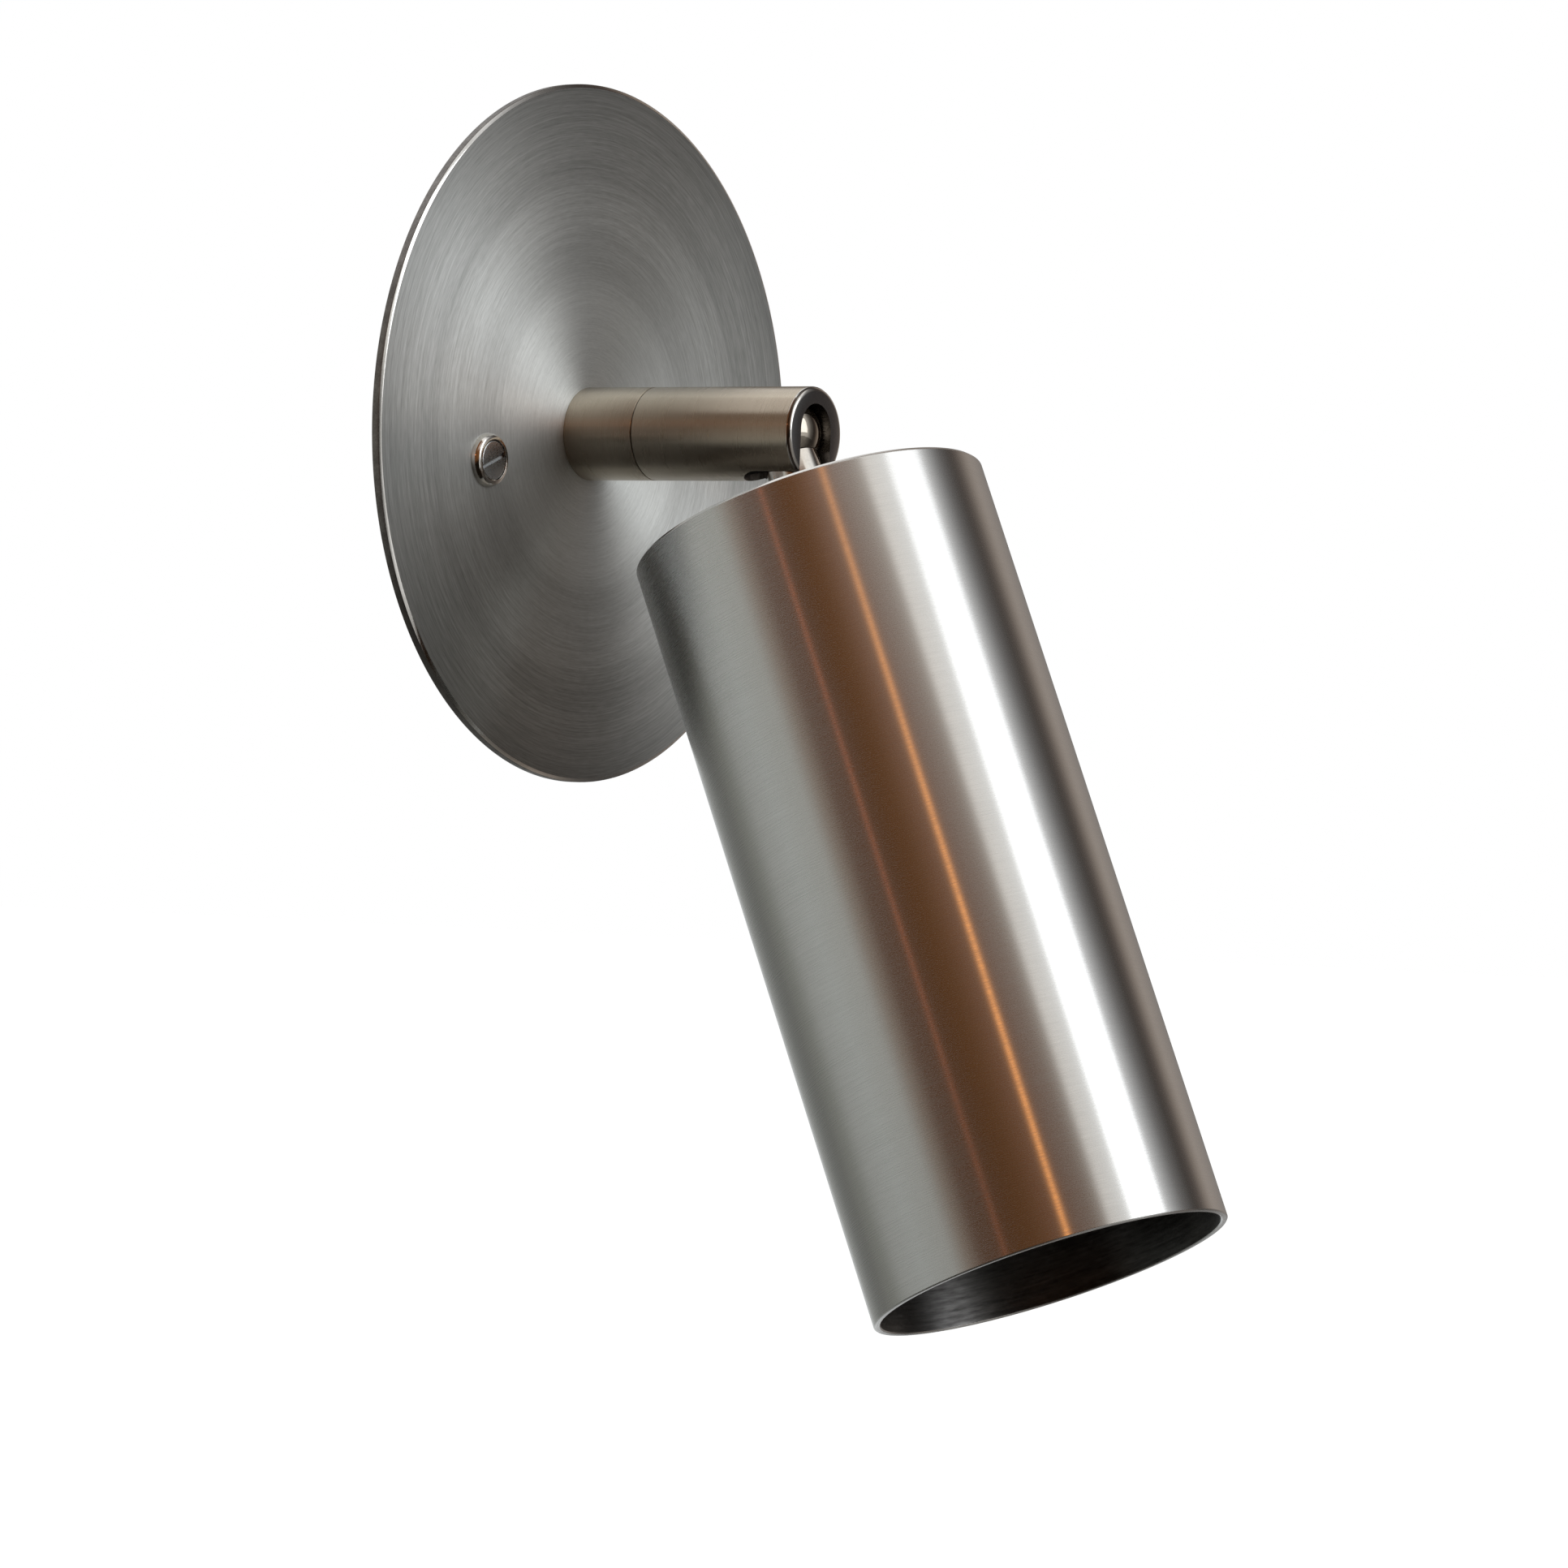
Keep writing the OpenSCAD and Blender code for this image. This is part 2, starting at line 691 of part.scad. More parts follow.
// Bent strip under the cap that the lampholder is screwed to
module lamp_bracket() {
    foot_hole_r = small_screw_d / 2 + fit_clear;
    color("gray") hung(cap_under) difference() {
        union() {
            block(bracket_span, strip_w, strip_t);
            for (side = [-1, 1]) {
                translate([side * (bracket_span - strip_t) / 2, 0, 0])
                    block(strip_t, strip_w, bracket_h);
                translate([side * (bracket_span - foot_len) / 2, 0, bracket_h - strip_t])
                    block(foot_len, strip_w, strip_t);
            }
        }
        translate([0, 0, -over])
            cylinder(r = neck_thread_d / 2 + fit_clear, h = strip_t + 2 * over);
        for (side = [-1, 1]) {
            translate([side * holder_screw_pitch / 2, 0, bracket_h - strip_t - over])
                cylinder(r = foot_hole_r, h = strip_t + 2 * over);
        }
    }
}

// Spring washer under the neck's nut
module neck_lock_washer() {
    color("gray") hung(strip_under) ring(lock_d / 2, neck_thread_d / 2 + fit_clear, lock_t);
}

// Hexagon nut that clamps cap and bracket to the neck
module neck_nut() {
    color("goldenrod") hung(neck_lock_under) hex_nut(neck_thread_d);
}

// Ceramic lampholder with two keyed pockets for the lamp's pins
module lampholder() {
    pocket_depth = holder_under - button_top + seat_gap;
    color("white") hung(holder_top) difference() {
        intersection() {
            cylinder(r = holder_len / 2, h = holder_h);
            block(holder_len, holder_w, holder_h);
        }
        for (side = [-1, 1]) {
            translate([side * pin_pitch / 2, 0, holder_h - pocket_depth])
                cylinder(r = key_r, h = pocket_depth + over);
            translate([side * holder_screw_pitch / 2, 0, -over])
                cylinder(r = small_screw_d / 2 + fit_clear, h = holder_h + 2 * over);
            translate([side * holder_screw_pitch / 2, 0, holder_h - small_head_h])
                cylinder(r = small_head_d / 2 + head_clear, h = small_head_h + over);
        }
    }
}

// Spring contacts at the floor of the pockets
module holder_contacts() {
    color("goldenrod") for (side = [-1, 1]) {
        hung(button_top - seat_gap) translate([side * pin_pitch / 2, 0, 0])
            cylinder(r = key_r - fit_clear, h = seat_gap);
    }
}

// Screws through the lampholder into the bracket's feet
module holder_screws() {
    color("silver") for (side = [-1, 1]) {
        hung(holder_under - small_head_h) translate([side * holder_screw_pitch / 2, 0, 0])
            slotted_screw(
                small_head_d, small_head_h, small_screw_d, holder_screw_len - small_head_h
            );
    }
}

// Base of the reflector lamp
module lamp_base() {
    color("whitesmoke") hung(lamp_top) difference() {
        cylinder(r = lamp_base_d / 2, h = lamp_base_len);
        for (side = [-1, 1]) {
            translate([side * pin_pitch / 2, 0, -over])
                cylinder(r = stem_d / 2 + fit_clear, h = stem_len + over);
        }
    }
}

// Two pins with buttons that lock in the lampholder
module lamp_pins() {
    color("silver") for (side = [-1, 1]) {
        hung(button_top) translate([side * pin_pitch / 2, 0, 0]) {
            cylinder(r = button_d / 2, h = button_h);
            cylinder(r = stem_d / 2, h = button_h + 2 * stem_len);
        }
    }
}

// Tapered shell of the lamp, hollow towards the lens
module lamp_shell() {
    shell_len = lamp_len - lamp_base_len;
    flare_len = shell_len - lamp_rim_len;
    base_r = lamp_base_d / 2;
    color("lightgray") hung(lamp_top + lamp_base_len) rotate_extrude() polygon([
        [0, 0], [base_r, 0], [lamp_r, flare_len], [lamp_r, shell_len],
        [lamp_r - lamp_wall, shell_len], [lamp_r - lamp_wall, flare_len],
        [base_r - lamp_wall, lamp_wall], [0, lamp_wall]
    ]);
}

// Glass lens in the lamp's rim
module lamp_lens() {
    color("azure") hung(lamp_front - lens_t - lamp_wall)
        cylinder(r = lamp_r - lamp_wall - fit_clear, h = lens_t);
}

wall_plate();
screw_cups();
plate_screws();
arm_collar();
swivel_nipple();
stop_pin();
swivel_spring();
swivel_nut();
nipple_washer();
earth_tag();
terminal_bracket();
nipple_lock_washer();
nipple_nut();
terminal_block();
terminal_sleeves();
terminal_screws();
bracket_screws();
arm_tube();
swivel_bush();
ball_seat();
cup_springs();
preload_ring();
swivel_ball();
ball_neck();
shade_cap();
shade_tube();
lamp_bracket();
neck_lock_washer();
neck_nut();
lampholder();
holder_contacts();
holder_screws();
lamp_base();
lamp_pins();
lamp_shell();
lamp_lens();
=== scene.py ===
import math

import bmesh
import bpy
import numpy as np
from mathutils import Matrix, Vector


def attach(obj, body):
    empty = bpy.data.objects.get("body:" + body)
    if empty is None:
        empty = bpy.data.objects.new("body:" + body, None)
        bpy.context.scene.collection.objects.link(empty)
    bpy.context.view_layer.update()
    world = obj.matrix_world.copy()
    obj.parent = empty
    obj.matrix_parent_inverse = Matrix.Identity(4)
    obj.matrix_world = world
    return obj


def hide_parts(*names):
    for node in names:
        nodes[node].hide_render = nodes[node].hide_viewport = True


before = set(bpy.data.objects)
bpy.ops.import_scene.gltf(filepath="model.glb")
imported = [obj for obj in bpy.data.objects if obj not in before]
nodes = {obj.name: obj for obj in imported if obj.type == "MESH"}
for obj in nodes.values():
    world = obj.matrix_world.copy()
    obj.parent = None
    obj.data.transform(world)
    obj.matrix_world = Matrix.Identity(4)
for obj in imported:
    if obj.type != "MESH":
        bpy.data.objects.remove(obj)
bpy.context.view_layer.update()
MM = 0.001


# Camera
# A long lens, level with the middle of the shade and well to the left, as the photograph was taken. The
# whole light stands in the frame with white all round it.

view_azimuth, view_elevation, view_roll = math.radians(-56.108), math.radians(-0.728), math.radians(2.298)
lens_mm = 165.92
towards_camera = Vector((math.sin(view_azimuth) * math.cos(view_elevation),
                         -math.cos(view_azimuth) * math.cos(view_elevation), math.sin(view_elevation)))
level_right = Vector((math.cos(view_azimuth), math.sin(view_azimuth), 0))
level_up = towards_camera.cross(level_right)
picture_right = math.cos(view_roll) * level_right + math.sin(view_roll) * level_up
picture_up = -math.sin(view_roll) * level_right + math.cos(view_roll) * level_up

camera = bpy.data.objects.new("camera", bpy.data.cameras.new("camera"))
camera.data.lens = lens_mm
camera.data.sensor_width = 36
camera.data.clip_start = 0.05
camera.rotation_mode = "QUATERNION"
camera.rotation_quaternion = Matrix((picture_right, picture_up, towards_camera)).transposed().to_quaternion()
view_right, view_up, view_distance = 34.71, -60.31, 1245.2
camera.location = MM * (view_right * picture_right + view_up * picture_up + view_distance * towards_camera)
bpy.context.scene.collection.objects.link(camera)
bpy.context.scene.camera = camera


# Floor, background and light
# A pale floor and a white surround, one large soft box in front of the wall and above the light, and soft
# light from everywhere. The studio's walls are panels that show only in reflections: warm and dark on the
# photographer's side, dark below, white behind. Their tones run in bands about the shade's axis.

bpy.context.scene.view_settings.view_transform = "Standard"
shade_tilt = math.radians(23.5)
shade_axis = Vector((0, -math.sin(shade_tilt), -math.cos(shade_tilt)))
object_centre = Vector((0, -0.06, -0.06))


def colour(hexadecimal, strength=1.0):
    """An sRGB hex value as linear red, green and blue, with alpha 1."""
    parts = [int(hexadecimal[i:i + 2], 16) / 255 for i in (1, 3, 5)]
    parts = [c / 12.92 if c <= 0.04045 else ((c + 0.055) / 1.055) ** 2.4 for c in parts]
    return [c * strength for c in parts] + [1.0]


def add(tree, kind, inputs=(), **settings):
    """Adds a node, sets its settings, and gives each input a value or a link."""
    made = tree.nodes.new(kind)
    for setting, value in settings.items():
        setattr(made, setting, value)
    for socket, value in dict(inputs).items():
        if isinstance(value, bpy.types.NodeSocket):
            tree.links.new(value, made.inputs[socket])
        else:
            made.inputs[socket].default_value = value
    return made


def new_material(name):
    """An empty material and its tree."""
    material = bpy.data.materials.new(name)
    material.use_nodes = True
    material.node_tree.nodes.clear()
    return material, material.node_tree


def banded(tree, source, stops):
    """A colour ramp over a value from 0 to 1: its stops are places and tones."""
    made = add(tree, "ShaderNodeValToRGB", {"Fac": source})
    ramp = made.color_ramp.elements
    ramp.remove(ramp[-1])
    for stop, (place, tone) in enumerate(stops):
        element = ramp.new(place) if stop else ramp[0]
        element.position = place
        element.color = colour(tone)
    return made.outputs[0]


def white_where_seen(tree):
    """1 for camera, glossy and transmission rays, 0 for the rays that light the object."""
    rays = add(tree, "ShaderNodeLightPath")
    either = add(tree, "ShaderNodeMath", {0: rays.outputs["Is Camera Ray"], 1: rays.outputs["Is Glossy Ray"]},
                 operation="MAXIMUM")
    return add(tree, "ShaderNodeMath", {0: either.outputs[0], 1: rays.outputs["Is Transmission Ray"]},
               operation="MAXIMUM").outputs[0]


world = bpy.data.worlds.new("studio")
bpy.context.scene.world = world
world.use_nodes = True
world.node_tree.nodes.clear()
even_light = add(world.node_tree, "ShaderNodeBackground", {"Color": colour("#f4f5f7"), "Strength": 0.72})
seen_white = add(world.node_tree, "ShaderNodeBackground", {"Color": colour("#ffffff"), "Strength": 1.0})
world_mix = add(world.node_tree, "ShaderNodeMixShader",
                {0: white_where_seen(world.node_tree), 1: even_light.outputs[0], 2: seen_white.outputs[0]})
add(world.node_tree, "ShaderNodeOutputWorld", {"Surface": world_mix.outputs[0]})

# painted studio floor, matt white: seen as white, and darker only where the light's shadow falls
floor_material, floor_tree = new_material("matt_white_studio_floor")
floor_paint = add(floor_tree, "ShaderNodeBsdfDiffuse", {"Color": colour("#e8e7e4")})
floor_lift = add(floor_tree, "ShaderNodeEmission", {"Color": colour("#ffffff"), "Strength": 0.52})
floor_seen = add(floor_tree, "ShaderNodeAddShader", {0: floor_paint.outputs[0], 1: floor_lift.outputs[0]})
floor_mix = add(floor_tree, "ShaderNodeMixShader",
                {0: white_where_seen(floor_tree), 1: floor_paint.outputs[0], 2: floor_seen.outputs[0]})
add(floor_tree, "ShaderNodeOutputMaterial", {"Surface": floor_mix.outputs[0]})

floor_level, floor_half = -0.42, 30.0
floor_mesh = bpy.data.meshes.new("floor")
floor_mesh.from_pydata([(-floor_half, -floor_half, floor_level), (floor_half, -floor_half, floor_level),
                        (floor_half, floor_half, floor_level), (-floor_half, floor_half, floor_level)],
                       [], [(0, 1, 2, 3)])
floor_mesh.materials.append(floor_material)
floor = bpy.data.objects.new("floor", floor_mesh)
bpy.context.scene.collection.objects.link(floor)
floor.visible_glossy = False

# the panels round the set, only reflected: degrees about the shade's axis from the camera's side, and tone
panel_tones = [
    (-180, "#d2d5d6"), (-168, "#b4b6b6"), (-158, "#8c8d8a"), (-140, "#6c6d6a"), (-128, "#6b6b67"),
    (-114, "#82837d"), (-100, "#a2a39f"), (-80, "#aeb0ac"), (-58, "#a8a7a1"), (-48, "#87786b"),
    (-38, "#5d4230"), (-20, "#5b3a20"), (0, "#6b4629"), (9, "#74492a"), (20, "#68442e"), (34, "#6f5544"),
    (41, "#8e8074"), (45, "#efe9e2"), (58, "#ececea"), (84, "#e2e2e2"), (93, "#a4a4a4"), (100, "#747271"),
    (112, "#3b3734"), (120, "#4c4440"), (128, "#83786f"), (136, "#9b9189"), (156, "#827b76"),
    (170, "#74716e"), (178, "#8a8886"),
]
panel_radius = 2.6
panel_material, panel_tree = new_material("studio_panels")
on_panels = add(panel_tree, "ShaderNodeTexCoord").outputs["Object"]


def along(direction):
    """How far a point of the panels lies from the middle along a direction, as a share of their distance."""
    return add(panel_tree, "ShaderNodeVectorMath", {0: on_panels, 1: tuple(Vector(direction) / panel_radius)},
               operation="DOT_PRODUCT").outputs["Value"]


def laid_over(first, tone, *limits):
    """Lays a tone over the panels where they lie far enough along each of some directions. A limit is
    (direction, where the tone starts, where it is full)."""
    share = 1.0
    for direction, start, full in limits:
        part = add(panel_tree, "ShaderNodeMapRange",
                   {"Value": along(direction), "From Min": start, "From Max": full},
                   interpolation_type="SMOOTHSTEP")
        share = add(panel_tree, "ShaderNodeMath", {0: share, 1: part.outputs[0]},
                    operation="MULTIPLY").outputs[0]
    return add(panel_tree, "ShaderNodeMix", {0: share, 6: first, 7: colour(tone)},
               data_type="RGBA").outputs[2]


facing = (towards_camera - towards_camera.dot(shade_axis) * shade_axis).normalized()
sideways = facing.cross(shade_axis)
about_axis = add(panel_tree, "ShaderNodeMath", {0: along(sideways), 1: along(facing)}, operation="ARCTAN2")
whole_turn = add(panel_tree, "ShaderNodeMapRange", {"Value": about_axis.outputs[0], "From Min": -math.pi,
                                                    "From Max": math.pi})
tones = banded(panel_tree, whole_turn.outputs[0],
               [((degrees + 180) / 360, tone) for degrees, tone in panel_tones])
# under the set: dark on the camera's side, a mid grey floor below and to the right, and darker far right
tones = laid_over(tones, "#14100c", (shade_axis, 0.05, 0.38), ((-1, 0, 0), -0.1, 0.15))
tones = laid_over(tones, "#6f6b65", (shade_axis, 0.6, 0.85), ((1, 0, 0), -0.1, 0.2))
tones = laid_over(tones, "#4a4846", (shade_axis, 0.15, 0.5), ((1, 0, 0), 0.65, 0.85))
# high up: pale in front of the wall, white behind it
tones = laid_over(tones, "#f0ebe4", (-shade_axis, 0.32, 0.65), ((0, -1, 0), 0.1, 0.5),
                  ((-1, 0, 0), -0.7, -0.3))
tones = laid_over(tones, "#ffffff", (-shade_axis, 0.70, 0.85), ((0, 1, 0), 0.2, 0.45))
panel_glow = add(panel_tree, "ShaderNodeEmission", {"Color": tones, "Strength": 1.4})
add(panel_tree, "ShaderNodeOutputMaterial", {"Surface": panel_glow.outputs[0]})
panel_material.cycles.emission_sampling = "NONE"

panel_shell = bmesh.new()
bmesh.ops.create_icosphere(panel_shell, subdivisions=4, radius=panel_radius)
panel_mesh = bpy.data.meshes.new("studio_panels")
panel_shell.to_mesh(panel_mesh)
panel_shell.free()
panel_mesh.materials.append(panel_material)
panels = bpy.data.objects.new("studio_panels", panel_mesh)
bpy.context.scene.collection.objects.link(panels)
panels.visible_camera = panels.visible_diffuse = panels.visible_transmission = False
panels.visible_shadow = panels.visible_volume_scatter = False

# the soft box: three quarters of a metre wide and a metre high, in front of the wall and a little above
box_direction, box_distance = Vector((0.22, -0.89, 0.39)).normalized(), 1.7
soft_box = bpy.data.objects.new("soft_box", bpy.data.lights.new("soft_box", "AREA"))
soft_box.data.shape = "RECTANGLE"
soft_box.data.size, soft_box.data.size_y = 0.75, 1.0
soft_box.data.energy = 5.2
soft_box.data.color = colour("#f8fbff")[:3]
soft_box.location = object_centre + box_distance * box_direction
soft_box.rotation_mode = "QUATERNION"
soft_box.rotation_quaternion = box_direction.to_track_quat("Z", "Y")
soft_box.visible_camera = False
bpy.context.scene.collection.objects.link(soft_box)

# two small warm lamps on the photographer's side, each a thin bright line along the shade and the arm
lamp_distance = 1.6
for name, aim, tone, size, energy in (("amber_lamp", (-0.677, -0.646, 0.36), "#ffa95c", 0.08, 0.5),
                                      ("red_lamp", (-0.992, 0.002, 0.326), "#ff9468", 0.05, 0.08)):
    aim = Vector(aim).normalized()
    lamp = bpy.data.objects.new(name, bpy.data.lights.new(name, "AREA"))
    lamp.data.shape = "DISK"
    lamp.data.size = size
    lamp.data.energy = energy
    lamp.data.color = colour(tone)[:3]
    lamp.location = object_centre + lamp_distance * aim
    lamp.rotation_mode = "QUATERNION"
    lamp.rotation_quaternion = aim.to_track_quat("Z", "Y")
    lamp.visible_camera = False
    bpy.context.scene.collection.objects.link(lamp)


# Wall plate
# A disc cut from stainless sheet, its edge bevelled on the lathe and its face brushed in circles with a
# coarse belt while it turned. A relief in its back leaves a rim that bears on the wall; two screws hold it.

plate_d, plate_t, plate_bevel, rim_w, relief_depth = 120, 1.6, 0.6, 15, 0.4
nipple_hole_r, screw_hole_r, screw_pitch, screw_turn, screw_drop = 4.05, 2.1, 60, 11.1, 0.8
# how far a cutting shape runs past what it cuts
past = 1


def outward(depth):
    """The place of a piece drawn upward from zero that stands out from the wall, starting at a depth."""
    return Matrix.Scale(MM, 4) @ Matrix.Rotation(math.radians(90), 4, "X") @ Matrix.Translation((0, 0, depth))


def rounded(corners):
    """Rounds the corners of an outline. Each corner is (across, along) or (across, along, radius)."""
    arc_steps = 4
    points = []
    for i, corner in enumerate(corners):
        here = Vector(corner[:2])
        radius = corner[2] if len(corner) > 2 else 0
        if not radius:
            points.append(tuple(here))
            continue
        back = (Vector(corners[i - 1][:2]) - here).normalized()
        on = (Vector(corners[(i + 1) % len(corners)][:2]) - here).normalized()
        half = back.angle(on) / 2
        centre = here + (back + on).normalized() * radius / math.sin(half)
        first, last = here + back * radius / math.tan(half), here + on * radius / math.tan(half)
        for step in range(arc_steps + 1):
            between = first.lerp(last, step / arc_steps)
            points.append(tuple(centre + (between - centre).normalized() * radius))
    return points


def swept(rows, steps, closed):
    """A skin through rows of points round an axis. A row is (radius or radii, height). The last row joins
    the first where it is closed; otherwise both end on the axis."""
    angle = np.arange(steps) * 2 * math.pi / steps
    points = [np.column_stack((radii * np.cos(angle), radii * np.sin(angle), np.zeros(steps) + height))
              for radii, height in rows]
    faces = []
    for row in range(len(rows) if closed else len(rows) - 1):
        low, high = row * steps, (row + 1) % len(rows) * steps
        faces += [(low + i, low + (i + 1) % steps, high + (i + 1) % steps, high + i) for i in range(steps)]
    mesh = bpy.data.meshes.new("skin")
    mesh.from_pydata(np.concatenate(points).tolist(), [], faces)
    return tidied(mesh)


def tidied(mesh):
    """Merges the points that meet, drops what has no area and turns every face outwards."""
    shape = bmesh.new()
    shape.from_mesh(mesh)
    bmesh.ops.remove_doubles(shape, verts=shape.verts, dist=1e-4)
    bmesh.ops.dissolve_degenerate(shape, edges=shape.edges, dist=1e-4)
    bmesh.ops.recalc_face_normals(shape, faces=shape.faces)
    shape.to_mesh(mesh)
    shape.free()
    return mesh


def turned(corners, steps=160):
    """A turned piece from its outline of (radius, height) corners, a ring or solid to the axis. A corner's
    third number is the radius that its edge is broken to."""
    outline = rounded(corners)
    return swept(outline, steps, closed=min(radius for radius, height in outline) > 0)


def prism(outline, low, high):
    """A straight block from an outline of (x, y) points."""
    count = len(outline)
    mesh = bpy.data.meshes.new("prism")
    mesh.from_pydata([(x, y, low) for x, y in outline] + [(x, y, high) for x, y in outline], [],
                     [tuple(range(count)), tuple(range(count, 2 * count))] +
                     [(i, (i + 1) % count, count + (i + 1) % count, count + i) for i in range(count)])
    return tidied(mesh)


def worked(mesh, cuts=(), ease=0.0, ease_steps=2):
    """Cuts other shapes out of a mesh and eases its sharp edges."""
    body = bpy.data.objects.new("worked", mesh)
    tools = [bpy.data.objects.new("tool", cut) for cut in cuts]
    for made in [body] + tools:
        bpy.context.scene.collection.objects.link(made)
    for tool in tools:
        cutting = body.modifiers.new("cut", "BOOLEAN")
        cutting.operation, cutting.solver, cutting.object = "DIFFERENCE", "EXACT", tool
    if ease:
        easing = body.modifiers.new("ease", "BEVEL")
        easing.width, easing.segments, easing.limit_method = ease, ease_steps, "ANGLE"
        easing.angle_limit, easing.use_clamp_overlap = math.radians(32), True
    result = bpy.data.meshes.new_from_object(body.evaluated_get(bpy.context.evaluated_depsgraph_get()))
    for made in [body] + tools:
        bpy.data.objects.remove(made)
    return result


def set_in(name, mesh, place, material, body):
    """Puts a finished piece where its solid of the same name is, on its body and in its finish."""
    mesh.transform(place)
    mesh.name = name + "_shown"
    mesh.materials.clear()
    mesh.materials.append(material)
    mesh.shade_smooth()
    mesh.set_sharp_from_angle(angle=math.radians(28))
    made = bpy.data.objects.new(name + "_shown", mesh)
    bpy.context.scene.collection.objects.link(made)
    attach(made, body)
    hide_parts(name)
    return made


def refinished(made, material, chosen):
    """Gives a second finish to the faces that a test picks by their centre in mm and their normal. The small
    lengths in the tests only keep them clear of the faces next to them."""
    made.data.materials.append(material)
    for face in made.data.polygons:
        if chosen(face.center / MM, face.normal):
            face.material_index = len(made.data.materials) - 1


